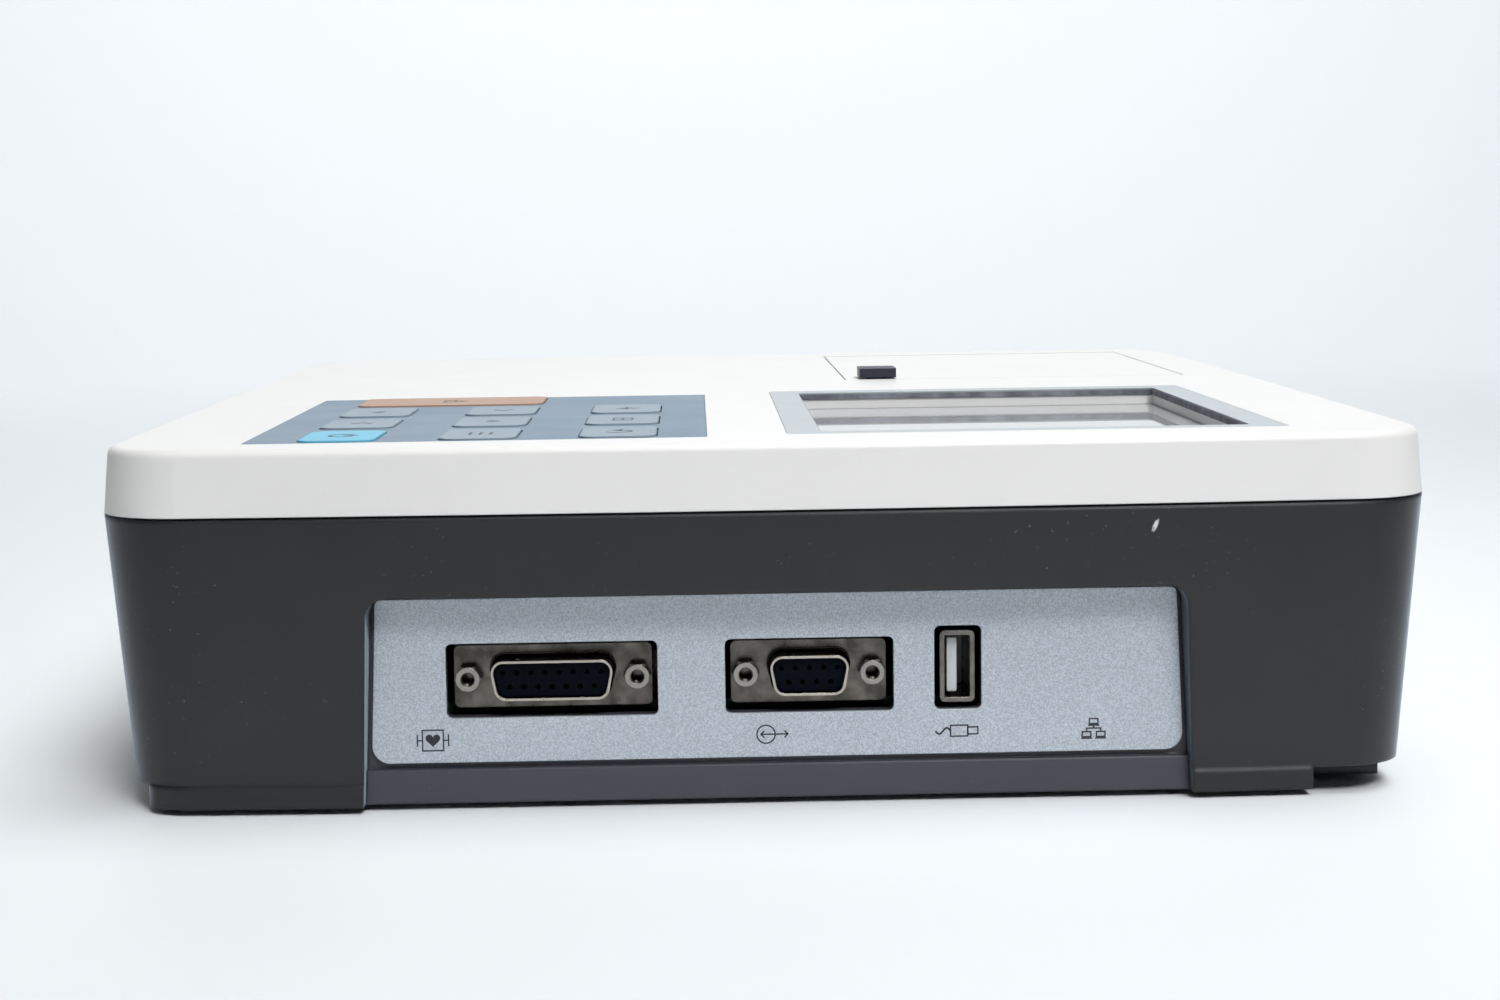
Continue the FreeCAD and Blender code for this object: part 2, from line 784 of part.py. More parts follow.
def make_bottom_housing():
    """The drafted tub with its plinth, the recess of the sockets, posts, bosses and battery bay."""
    body = new_body("bottom_housing")
    # The plinth stands just proud of the two ends and well inside the long sides
    end_inset = "housing_lean - plinth_proud"
    body_block(body, "plinth", "foot_proud", end_inset, UNDERSIDE, end_inset)
    side = "body_width / 2 - housing_lean - plinth_inset"
    strips = [
        span(side, OUT_OF_THE_WAY, f"-({OUT_OF_THE_WAY})", OUT_OF_THE_WAY),
        span(f"-({OUT_OF_THE_WAY})", f"-({side})", f"-({OUT_OF_THE_WAY})", OUT_OF_THE_WAY),
    ]
    prism(body, "plinth_sides", "XY", "0", UNDERSIDE, strips, cut=True)
    side_x = number(side)

    def at_a_side(edge):
        box = edge.BoundBox
        return box.XLength + box.YLength < 0.01 and abs(abs(box.XMin) - side_x) < 0.01

    round_edges(body, "plinth_corners", "plinth_corner", at_a_side)
    body_block(body, "outer_walls", UNDERSIDE, "housing_lean", RIM, "0")
    cavity_floor = f"{UNDERSIDE} + floor_thickness"
    body_block(body, "cavity", cavity_floor, f"{lean_at(cavity_floor)} + wall", RIM, "wall", cut=True)
    well = span(
        f"{LEFT} + housing_lean + plinth_inset + wall",
        f"{RIGHT} - housing_lean - plinth_inset - wall",
        f"{NEAR} + well_near_setback",
        f"{FAR} - well_far_setback",
        "well_radius",
    )
    prism(body, "plinth_well", "XY", FLOOR, cavity_floor, [well], cut=True)
    body_ring(body, "seam_lip", RIM, f"{RIM} + lip_height", ["lip_setback", "wall"])
    notch = span(
        f"{RIGHT} - housing_lean - plinth_notch_width",
        OUT_OF_THE_WAY,
        f"-({OUT_OF_THE_WAY})",
        f"{NEAR} + plinth_notch_length",
    )
    prism(body, "plinth_notch", "XY", "0", UNDERSIDE, [notch], cut=True)
    # A block behind the recess follows the leaning wall, and the recess is cut right through it
    block_top = f"{RECESS_TOP} + wall"
    block = polygon(
        [
            (f"{NEAR} + housing_lean + end_crown / 2", UNDERSIDE),
            (f"{PANEL_BACK} + wall", UNDERSIDE),
            (f"{PANEL_BACK} + wall", block_top),
            (f"{NEAR} + {lean_at(block_top)} + end_crown / 2", block_top),
        ]
    )
    block_left = "recess_middle - recess_foot_width / 2 - wall"
    block_right = "recess_middle + recess_foot_width / 2 + wall"
    prism(body, "recess_block", "YZ", block_left, block_right, [block])
    recess = recess_outline("foot_proud - 2 * recess_corner", RECESS_TOP, "0", "recess_corner")
    prism(
        body,
        "recess",
        "XZ",
        f"-({OUT_OF_THE_WAY})",
        f"{PANEL_BACK} + wall + fit_gap",
        [recess],
        cut=True,
    )
    # Posts for the cover, and tubular bosses for the boards and the printer frame
    boss_low = f"{FLOOR} - floor_thickness / 2"
    prism(body, "posts", "XY", boss_low, POST_TOP, circles(POSTS, "post_radius"))
    prism(body, "main_bosses", "XY", boss_low, MAIN_BOARD_LOW, tubes(MAIN_SCREWS))
    prism(body, "power_bosses", "XY", boss_low, POWER_BOARD_LOW, tubes(POWER_SCREWS))
    prism(body, "frame_bosses", "XY", boss_low, FRAME_LOW, tubes(FRAME_SCREWS))
    prism(body, "screw_holes", "XY", "0", POST_TOP, circles(POSTS, "screw_radius + fit_gap"), cut=True)
    prism(
        body,
        "screw_wells",
        "XY",
        "0",
        SCREW_SEAT,
        circles(POSTS, "screw_head_radius + 4 * fit_gap"),
        cut=True,
    )
    prism(body, "foot_seats", "XY", "0", "foot_proud + foot_sunk", circles(FEET, "foot_radius"), cut=True)
    # Battery bay: a hole in the floor, a shallow seat for its cover and a fence round the pack
    fence = [battery_outline("battery_gap + battery_fence_wall"), battery_outline("battery_gap")]
    prism(
        body,
        "battery_fence",
        "XY",
        f"{FLOOR} - floor_thickness / 4",
        f"{FLOOR} + battery_fence_height",
        fence,
    )
    screw_places = battery_screw_places()
    boss_high = f"{BATTERY_LOW} + screw_grip"
    prism(body, "battery_screw_bosses", "XY", BATTERY_LOW, boss_high, tubes(screw_places))
    prism(
        body,
        "battery_pilots",
        "XY",
        BATTERY_LOW,
        boss_high,
        circles(screw_places, "board_screw_radius"),
        cut=True,
    )
    prism(
        body,
        "battery_hole",
        "XY",
        "0",
        f"{FLOOR} + battery_fence_height",
        [battery_outline("battery_gap")],
        cut=True,
    )
    prism(
        body,
        "battery_seat",
        "XY",
        "0",
        BATTERY_LOW,
        [battery_outline("battery_gap + battery_lip + 4 * fit_gap")],
        cut=True,
    )
    # Flat seat and hole of the mains inlet in the leaning rear wall
    seat = rectangle(
        INLET_Y,
        INLET_Z,
        "inlet_flange_width + 4 * fit_gap",
        "inlet_flange_height + 4 * fit_gap",
        "cutout_radius",
    )
    hole = rectangle(
        INLET_Y,
        INLET_Z,
        "inlet_body_width + 4 * fit_gap",
        "inlet_body_height + 4 * fit_gap",
        "cutout_radius",
    )
    prism(body, "inlet_seat_cut", "YZ", INLET_X, OUT_OF_THE_WAY, [seat], cut=True)
    prism(body, "inlet_hole", "YZ", f"{INLET_X} - 4 * wall", OUT_OF_THE_WAY, [hole], cut=True)


def make_top_cover():
    """The shallow drafted lid with its rounded edge, openings, screw columns and hinge lugs."""
    body = new_body("top_cover")
    body_block(body, "outer_lid", COVER_LOW, "0", TOP, "cover_lean")
    top = number(TOP)
    round_edges(body, "soft_edge", "cover_edge_radius", lambda edge: edge.BoundBox.ZMin > top - 0.01)
    body_block(body, "cavity", COVER_LOW, "wall", PLATE_LOW, "wall + cover_lean", cut=True)
    rebate = "lip_setback - 2 * fit_gap"
    body_block(body, "lip_rebate", COVER_LOW, rebate, f"{RIM} + lip_height + 3 * fit_gap", rebate, cut=True)
    # Screw columns down to the housing's posts, and stand-offs for the keypad board
    plate_inside = f"{PLATE_LOW} + fit_gap"
    prism(body, "columns", "XY", POST_TOP, plate_inside, circles(POSTS, "post_radius"))
    prism(
        body,
        "column_pilots",
        "XY",
        POST_TOP,
        f"{POST_TOP} + screw_grip",
        circles(POSTS, "screw_radius"),
        cut=True,
    )
    prism(body, "keypad_standoffs", "XY", KEYPAD_BOARD_TOP, plate_inside, tubes(KEYPAD_SCREWS))
    # Printer door opening, its side ledges, its hinge lugs and the paper slot
    door_left = f"{FRAME_LEFT} - moving_gap"
    door_right = f"{FRAME_RIGHT} + moving_gap"
    door_opening = span(
        door_left, door_right, f"{DOOR_NEAR} - moving_gap", f"{HINGE_Y} + barrel_radius + moving_gap"
    )
    prism(body, "door_opening", "XY", f"{PLATE_LOW} - wall", OUT_OF_THE_WAY, [door_opening], cut=True)
    ledge_near, ledge_far = f"{DOOR_NEAR} + door_rib_height", f"{HINGE_Y} - 4 * barrel_radius"
    ledge_high = f"{DOOR_LOW} - moving_gap"
    ledge_low = f"{ledge_high} - door_ledge_thickness"
    skirts = [
        span(f"{door_left} - wall", door_left, ledge_near, ledge_far),
        span(door_right, f"{door_right} + wall", ledge_near, ledge_far),
    ]
    ledges = [
        span(f"{door_left} - wall", f"{door_left} + door_ledge_width", ledge_near, ledge_far),
        span(f"{door_right} - door_ledge_width", f"{door_right} + wall", ledge_near, ledge_far),
    ]
    prism(body, "ledge_skirts", "XY", ledge_low, plate_inside, skirts)
    prism(body, "ledges", "XY", ledge_low, ledge_high, ledges)
    lug = span(
        f"{HINGE_Y} - hinge_lug_radius",
        f"{HINGE_Y} + hinge_lug_radius",
        f"{HINGE_Z} - hinge_lug_radius",
        plate_inside,
    )
    prism(body, "left_lug", "YZ", f"{door_left} - hinge_lug_width", door_left, [lug])
    prism(body, "right_lug", "YZ", door_right, f"{door_right} + hinge_lug_width", [lug])
    pin_hole = circle(HINGE_Y, HINGE_Z, "hinge_pin_radius")
    prism(
        body,
        "pin_holes",
        "YZ",
        f"{door_left} - hinge_lug_width",
        f"{door_right} + hinge_lug_width",
        [pin_hole],
        cut=True,
    )
    slot_low = f"{COVER_LOW} + slot_rise"
    slot = span(
        f"{BAY_X} - bay_width / 2",
        f"{BAY_X} + bay_width / 2",
        slot_low,
        f"{slot_low} + slot_height",
        "cutout_radius",
    )
    prism(body, "paper_slot", "XZ", FRAME_FAR, OUT_OF_THE_WAY, [slot], cut=True)
    # Display: a shallow seat for the bezel and a well with a rim that the glass is glued to
    prism(body, "display_rim", "XY", GLASS_TOP, PLATE_LOW, [window_outline("display_rim", "display_rim")])
    prism(
        body,
        "display_opening",
        "XY",
        f"{GLASS_TOP} - wall",
        OUT_OF_THE_WAY,
        [window_outline()],
        cut=True,
    )
    prism(
        body,
        "bezel_seat",
        "XY",
        f"{TOP} - bezel_thickness",
        OUT_OF_THE_WAY,
        [display_outline("fit_gap")],
        cut=True,
    )
    # Keypad: a shallow seat for the overlay and a hole for every key
    prism(
        body,
        "overlay_seat",
        "XY",
        f"{TOP} - overlay_thickness",
        OUT_OF_THE_WAY,
        [overlay_outline("fit_gap")],
        cut=True,
    )
    cut_key_holes(body, f"{PLATE_LOW} - wall", OUT_OF_THE_WAY)


def cut_key_holes(body, low, high):
    """One hole for the wide key, and one hole repeated over the three rows and columns of small keys."""
    places = key_places()
    prism(body, "start_key_hole", "XY", low, high, [grow(places["start_key"], "key_gap")], cut=True)
    first = prism(body, "first_key_hole", "XY", low, high, [grow(places["blue_key"], "key_gap")], cut=True)
    grid = body.newObject("PartDesign::MultiTransform", "key_hole_grid")
    grid.Originals = [first]
    steps = []
    for axis, pitch in (("H_Axis", "key_pitch_across"), ("V_Axis", "key_pitch_along")):
        step = doc.addObject("PartDesign::LinearPattern", f"{pitch}_step")
        step.Direction = (first.Profile[0], [axis])
        step.setExpression("Length", formula(f"2 * {pitch}"))
        step.Occurrences = 3
        steps.append(step)
    grid.Transformations = steps
    grid.Refine = False
    body.Tip = grid


KEYPAD_BOARD = (
    f"{OVERLAY_LEFT} - keypad_board_margin",
    f"{OVERLAY_RIGHT} + keypad_board_margin",
    f"{NEAR} + overlay_near - keypad_board_margin",
    f"{NEAR} + overlay_near + overlay_length + keypad_board_margin",
)
KEYPAD_SCREWS = [
    (x, y)
    for x in (OVERLAY_LEFT, OVERLAY_RIGHT)
    for y in (f"{NEAR} + overlay_near", f"{NEAR} + overlay_near + overlay_length")
]


def make_interface_panel():
    """The thin silver panel in the recess, and the dark plate behind it with its sill."""
    sill_top = "foot_proud + sill_height"
    plate = new_body("socket_plate")
    plate_corners = ["2 * fit_gap", "2 * fit_gap", "recess_corner - fit_gap", "recess_corner - fit_gap"]
    back = recess_outline("foot_proud", f"{RECESS_TOP} - fit_gap", "fit_gap", plate_corners)
    prism(plate, "back", "XZ", PANEL_BACK, f"{PANEL_BACK} + wall", [back] + socket_cutouts())
    sill = recess_outline("foot_proud", sill_top, "fit_gap")
    prism(plate, "sill", "XZ", f"{PANEL_FACE} - sill_proud", PANEL_BACK, [sill])

    panel = new_body("interface_panel")
    panel_corners = ["panel_corner", "panel_corner", "panel_top_corner", "panel_top_corner"]
    face = recess_outline(
        f"{sill_top} + panel_rise", f"{RECESS_TOP} - panel_gap", "panel_gap", panel_corners
    )
    prism(panel, "face", "XZ", PANEL_FACE, PANEL_BACK, [face] + socket_cutouts())


def d_outline(offset, width, inset="0"):
    """A D-shaped shell's outline: wide above, slanting in below."""
    half = f"({width}) / 2 - ({inset})"
    high = f"{CONNECTOR_Z} + dshell_height / 2 - ({inset})"
    low = f"{CONNECTOR_Z} - dshell_height / 2 + ({inset})"
    return polygon(
        [
            (f"{offset} - ({half} - dshell_slant)", low),
            (f"{offset} + ({half} - dshell_slant)", low),
            (f"{offset} + ({half})", high),
            (f"{offset} - ({half})", high),
        ],
        f"dshell_radius - ({inset})",
    )


def make_d_socket(name, wide_row):
    """One D-shaped socket: flanged metal shell, dark insulator and a pair of hex jackscrews."""
    offset = f"{name}_offset"
    shell_width = f"{name}_shell_width"
    jacks = [(f"{offset} {side} {name}_spacing / 2", CONNECTOR_Z) for side in "-+"]
    flange_back = f"{FLANGE_Y} + flange_thickness"
    flange_width = f"{name}_spacing + 2 * flange_margin"

    shell = new_body(f"{name}_socket_shell")
    flange = rectangle(offset, CONNECTOR_Z, flange_width, "flange_height", "flange_radius")
    prism(shell, "flange", "XZ", FLANGE_Y, flange_back, [flange])
    prism(shell, "shell", "XZ", f"{FLANGE_Y} - dshell_proud", FLANGE_Y, [d_outline(offset, shell_width)])
    face_y, half_width = number(FLANGE_Y), number(shell_width) / 2 + 0.1

    def at_the_root(edge):
        box = edge.BoundBox
        on_face = abs(box.YMin - face_y) < 0.01 and abs(box.YMax - face_y) < 0.01
        middle = number(offset)
        return on_face and middle - half_width < box.XMin and box.XMax < middle + half_width

    round_edges(shell, "flared_root", "dshell_flare", at_the_root)
    inside = d_outline(offset, shell_width, "dshell_wall")
    prism(shell, "mouth", "XZ", f"{FLANGE_Y} - dshell_proud", flange_back, [inside], cut=True)
    prism(
        shell,
        "jack_holes",
        "XZ",
        FLANGE_Y,
        flange_back,
        circles(jacks, "screw_radius + fit_gap"),
        cut=True,
    )

    insulator = new_body(f"{name}_socket_insulator")
    core = d_outline(offset, shell_width, "dshell_wall + fit_gap")
    core_face = f"{FLANGE_Y} - dshell_proud + insulator_sunk"
    rear = rectangle(offset, CONNECTOR_Z, flange_width, "flange_height", "flange_radius")
    prism(insulator, "rear_block", "XZ", flange_back, f"{flange_back} + insulator_back", [rear])
    prism(insulator, "core", "XZ", core_face, flange_back, [core])
    contacts = []
    for row, count in ((1, wide_row), (-1, wide_row - 1)):
        for i in range(count):
            step = i - (count - 1) / 2
            contact_x = f"{offset} + {step} * contact_pitch"
            contacts.append((contact_x, f"{CONNECTOR_Z} + {row} * contact_row_gap / 2"))
    contact_holes = circles(contacts, "contact_radius")
    prism(
        insulator, "contact_holes", "XZ", core_face, f"{core_face} + contact_depth", contact_holes, cut=True
    )
    rear_holes = circles(jacks, "screw_radius + fit_gap")
    prism(
        insulator,
        "jack_holes",
        "XZ",
        flange_back,
        f"{flange_back} + insulator_back",
        rear_holes,
        cut=True,
    )

    jackscrews = new_body(f"{name}_jackscrews")
    hexagons = [hexagon(x, z, "jack_flats") for x, z in jacks]
    hex_front = f"{FLANGE_Y} - jack_proud + jack_face"
    prism(jackscrews, "hex_heads", "XZ", hex_front, FLANGE_Y, hexagons)
    faces = circles(jacks, "jack_flats / 2")
    prism(jackscrews, "round_faces", "XZ", f"{FLANGE_Y} - jack_proud", hex_front, faces)
    prism(
        jackscrews,
        "shanks",
        "XZ",
        FLANGE_Y,
        f"{flange_back} + insulator_back",
        circles(jacks, "screw_radius"),
    )
    prism(
        jackscrews,
        "threads",
        "XZ",
        f"{FLANGE_Y} - jack_proud",
        f"{FLANGE_Y} - jack_proud + jack_depth",
        circles(jacks, "jack_bore"),
        cut=True,
    )


def hexagon(x, y, flats):
    """A hexagon with two flats level, by its width across the flats."""
    reach = f"{flats} / sqrt(3)"
    return polygon(
        [
            (f"{x} + {reach}", y),
            (f"{x} + {reach} / 2", f"{y} + {flats} / 2"),
            (f"{x} - {reach} / 2", f"{y} + {flats} / 2"),
            (f"{x} - {reach}", y),
            (f"{x} - {reach} / 2", f"{y} - {flats} / 2"),
            (f"{x} + {reach} / 2", f"{y} - {flats} / 2"),
        ]
    )


def make_usb_socket():
    """The upright socket: a folded metal shell with a flared mouth and legs, and a plastic tongue."""
    back = f"{USB_Y} + usb_length"
    outer = rectangle("usb_offset", USB_Z, "usb_width", "usb_height", "2 * usb_wall")
    inner = rectangle(
        "usb_offset", USB_Z, "usb_width - 2 * usb_wall", "usb_height - 2 * usb_wall", "usb_wall"
    )
    flare = rectangle(
        "usb_offset", USB_Z, "usb_width + 2 * usb_flare", "usb_height + 2 * usb_flare", "3 * usb_wall"
    )
    shell = new_body("usb_shell")
    prism(shell, "tube", "XZ", USB_Y, back, [outer, inner])
    prism(shell, "flared_mouth", "XZ", USB_Y, f"{USB_Y} + usb_flare_thickness", [flare, inner])
    legs = span(
        "usb_offset - usb_width / 4",
        "usb_offset + usb_width / 4",
        f"{FLANGE_Y} + flange_thickness + usb_back",
        back,
    )
    prism(shell, "legs", "XY", BOARD_TOP, f"{USB_Z} - usb_height / 2 + usb_wall / 2", [legs])

    tongue = new_body("usb_tongue")
    block = rectangle(
        "usb_offset",
        USB_Z,
        "usb_width - 2 * usb_wall - 2 * fit_gap",
        "usb_height - 2 * usb_wall - 2 * fit_gap",
        "usb_wall",
    )
    blade = rectangle(
        "usb_offset - usb_tongue_shift", USB_Z, "usb_tongue_width", "usb_tongue_height", "usb_wall"
    )
    prism(tongue, "rear_block", "XZ", f"{back} - usb_back", back, [block])
    prism(tongue, "blade", "XZ", f"{USB_Y} + usb_tongue_sunk", f"{back} - usb_back", [blade])


def make_display():
    """The thin bezel, the sunken glass and the module behind it."""
    bezel = new_body("display_bezel")
    prism(bezel, "frame", "XY", f"{TOP} - bezel_thickness", TOP, [display_outline(), window_outline()])
    window = new_body("display_window")
    glass = window_outline("display_rim", "display_rim")
    prism(window, "glass", "XY", f"{GLASS_TOP} - glass_thickness", GLASS_TOP, [glass])
    module = new_body("lcd_module")
    module_top = f"{GLASS_TOP} - glass_thickness"
    prism(module, "case", "XY", f"{module_top} - lcd_thickness", module_top, [glass])


def make_keypad():
    """The overlay, ten keys that reach through the cover, and the board with a switch under each key."""
    places = key_places()
    overlay = new_body("keypad_overlay")
    sheet_low = f"{TOP} - overlay_thickness"
    prism(overlay, "sheet", "XY", sheet_low, TOP, [overlay_outline()])
    cut_key_holes(overlay, sheet_low, TOP)
    flange_low = f"{KEY_FLANGE_TOP} - key_flange_thickness"
    for label, place in places.items():
        x, y = place[:2]
        key = new_body(label)
        prism(key, "cap", "XY", KEY_FLANGE_TOP, f"{TOP} + key_proud", [rectangle(*place)])
        prism(key, "flange", "XY", flange_low, KEY_FLANGE_TOP, [grow(place, "key_flange")])
        prism(
            key,
            "plunger",
            "XY",
            f"{flange_low} - plunger_length",
            flange_low,
            [circle(x, y, "plunger_radius")],
        )

    board = new_body("keypad_board")
    board_low = f"{KEYPAD_BOARD_TOP} - board_thickness"
    plate = span(*KEYPAD_BOARD, "overlay_radius")
    screw_holes = circles(KEYPAD_SCREWS, "board_screw_radius + fit_gap")
    prism(board, "plate", "XY", board_low, KEYPAD_BOARD_TOP, [plate] + screw_holes)

    switches = new_body("key_switches")
    case_top = f"{KEYPAD_BOARD_TOP} + switch_height"
    cases = [rectangle(x, y, "switch_width", "switch_width") for x, y, *_ in places.values()]
    buttons = circles([place[:2] for place in places.values()], "button_radius")
    prism(switches, "cases", "XY", KEYPAD_BOARD_TOP, case_top, cases)
    prism(switches, "buttons", "XY", case_top, SWITCH_TOP, buttons)

    screw_set("keypad_screws", KEYPAD_SCREWS, board_low, True, "board_screw_grip")


def screw_set(label, places, seat, points_up, grip):
    """A group of like screws: a round head on one side of its seat, a shank of some grip on the other."""
    body = new_body(label)
    if points_up:
        head_span = (f"{seat} - screw_head_height", seat)
    else:
        head_span = (seat, f"{seat} + screw_head_height")
    shank_span = (seat, f"{seat} + {grip}") if points_up else (f"{seat} - ({grip})", seat)
    prism(body, "heads", "XY", *head_span, circles(places, "2 * board_screw_radius"))
    prism(body, "shanks", "XY", *shank_span, circles(places, "board_screw_radius - fit_gap / 10"))


def make_boards():
    """The main board behind the sockets and the power board by the mains inlet, with their larger parts."""
    main = new_body("main_board")
    main_holes = circles(MAIN_SCREWS, "board_screw_radius + fit_gap")
    prism(
        main,
        "plate",
        "XY",
        MAIN_BOARD_LOW,
        BOARD_TOP,
        [span(*MAIN_BOARD, "overlay_radius")] + main_holes,
    )
    main_parts = new_body("main_board_parts")
    shield_y = f"{FLANGE_Y} + flange_thickness + insulator_back + shield_length"
    shield = rectangle("patient_offset", shield_y, "shield_width", "shield_length", "cutout_radius")
    processor = rectangle("serial_offset", shield_y, "processor_size", "processor_size")
    prism(main_parts, "shield_can", "XY", BOARD_TOP, f"{BOARD_TOP} + shield_height", [shield])
    prism(main_parts, "processor", "XY", BOARD_TOP, f"{BOARD_TOP} + processor_height", [processor])

    power = new_body("power_board")
    power_top = f"{POWER_BOARD_LOW} + board_thickness"
    power_holes = circles(POWER_SCREWS, "board_screw_radius + fit_gap")
    prism(
        power,
        "plate",
        "XY",
        POWER_BOARD_LOW,
        power_top,
        [span(*POWER_BOARD, "overlay_radius")] + power_holes,
    )
    power_parts = new_body("power_parts")
    power_x = f"{RIGHT} - power_board_inset - power_board_width / 2"
    transformer_y = f"{POWER_BOARD[3]} - transformer_length"
    transformer = rectangle(
        power_x, transformer_y, "transformer_width", "transformer_length", "cutout_radius"
    )
    capacitor = circle(
        power_x, f"{transformer_y} - transformer_length - capacitor_radius", "capacitor_radius"
    )
    prism(power_parts, "transformer", "XY", power_top, f"{power_top} + transformer_height", [transformer])
    prism(power_parts, "capacitor", "XY", power_top, f"{power_top} + capacitor_height", [capacitor])

    board_screws = new_body("board_screws")
    for name, places, seat in (("main", MAIN_SCREWS, BOARD_TOP), ("power", POWER_SCREWS, power_top)):
        shank_low = f"{seat} - board_thickness - board_screw_grip"
        heads = circles(places, "2 * board_screw_radius")
        shanks = circles(places, "board_screw_radius - fit_gap / 10")
        prism(board_screws, f"{name}_shanks", "XY", shank_low, seat, shanks)
        prism(board_screws, f"{name}_heads", "XY", seat, f"{seat} + screw_head_height", heads)


def make_battery():
    """The pack in its bay, the cover flush with the plinth and the cover's two screws."""
    pack = new_body("battery_pack")
    prism(pack, "cells", "XY", BATTERY_LOW, f"{BATTERY_LOW} + battery_height", [battery_outline("0")])
    cover = new_body("battery_cover")
    holes = circles(battery_screw_places(), "board_screw_radius + fit_gap")
    plate = battery_outline("battery_gap + battery_lip + 2 * fit_gap")
    prism(cover, "plate", "XY", "foot_proud", BATTERY_LOW, [plate] + holes)
    wells = circles(battery_screw_places(), "2 * board_screw_radius + 2 * fit_gap")
    prism(
        cover,
        "screw_wells",
        "XY",
        "foot_proud",
        "foot_proud + battery_cover_thickness / 2",
        wells,
        cut=True,
    )
    screws = new_body("battery_cover_screws")
    seat = "foot_proud + battery_cover_thickness / 2"
    head_low = "foot_proud + fit_gap"
    prism(screws, "heads", "XY", head_low, seat, circles(battery_screw_places(), "2 * board_screw_radius"))
    shanks = circles(battery_screw_places(), "board_screw_radius - fit_gap / 10")
    prism(screws, "shanks", "XY", seat, f"{BATTERY_LOW} + board_screw_grip", shanks)


def make_mains_inlet():
    """A snap-in appliance inlet: flanged body with a chamfered socket, and its three blades."""
    inlet = new_body("mains_inlet")
    flange_out = f"{INLET_X} + inlet_flange_thickness"
    body_in = f"{INLET_X} - inlet_body_depth"
    flange = rectangle(INLET_Y, INLET_Z, "inlet_flange_width", "inlet_flange_height", "cutout_radius")
    case = rectangle(INLET_Y, INLET_Z, "inlet_body_width", "inlet_body_height", "cutout_radius")
    prism(inlet, "flange", "YZ", INLET_X, flange_out, [flange])
    prism(inlet, "case", "YZ", body_in, INLET_X, [case])
    half_width, half_height = "inlet_socket_width / 2", "inlet_socket_height / 2"
    socket = polygon(
        [
            (f"{INLET_Y} - {half_width}", f"{INLET_Z} - {half_height}"),
            (f"{INLET_Y} + {half_width}", f"{INLET_Z} - {half_height}"),
            (f"{INLET_Y} + {half_width}", f"{INLET_Z} + {half_height} - inlet_chamfer"),
            (f"{INLET_Y} + {half_width} - inlet_chamfer", f"{INLET_Z} + {half_height}"),
            (f"{INLET_Y} - {half_width} + inlet_chamfer", f"{INLET_Z} + {half_height}"),
            (f"{INLET_Y} - {half_width}", f"{INLET_Z} + {half_height} - inlet_chamfer"),
        ]
    )
    prism(inlet, "socket", "YZ", f"{flange_out} - inlet_socket_depth", flange_out, [socket], cut=True)
    places = [
        (f"{INLET_Y} - inlet_pin_spread", f"{INLET_Z} - inlet_pin_shift"),
        (INLET_Y, f"{INLET_Z} + inlet_pin_shift"),
        (f"{INLET_Y} + inlet_pin_spread", f"{INLET_Z} - inlet_pin_shift"),
    ]
    blades = [rectangle(y, z, "inlet_pin_width", "inlet_pin_height") for y, z in places]
    slots = [rectangle(y, z, "inlet_pin_width", "inlet_pin_height") for y, z in places]
    prism(inlet, "blade_slots", "YZ", body_in, flange_out, slots, cut=True)
    pins = new_body("inlet_pins")
    prism(pins, "blades", "YZ", f"{body_in} - inlet_tab", f"{flange_out} - inlet_pin_sunk", blades)


def make_feet_and_housing_screws():
    feet = new_body("rubber_feet")
    prism(feet, "discs", "XY", "0", "foot_proud + foot_sunk", circles(FEET, "foot_radius - fit_gap"))
    screws = new_body("housing_screws")
    prism(
        screws,
        "heads",
        "XY",
        f"{SCREW_SEAT} - screw_head_height",
        SCREW_SEAT,
        circles(POSTS, "screw_head_radius"),
    )
    shanks = circles(POSTS, "screw_radius - fit_gap / 10")
    prism(screws, "shanks", "XY", SCREW_SEAT, f"{POST_TOP} + screw_grip", shanks)


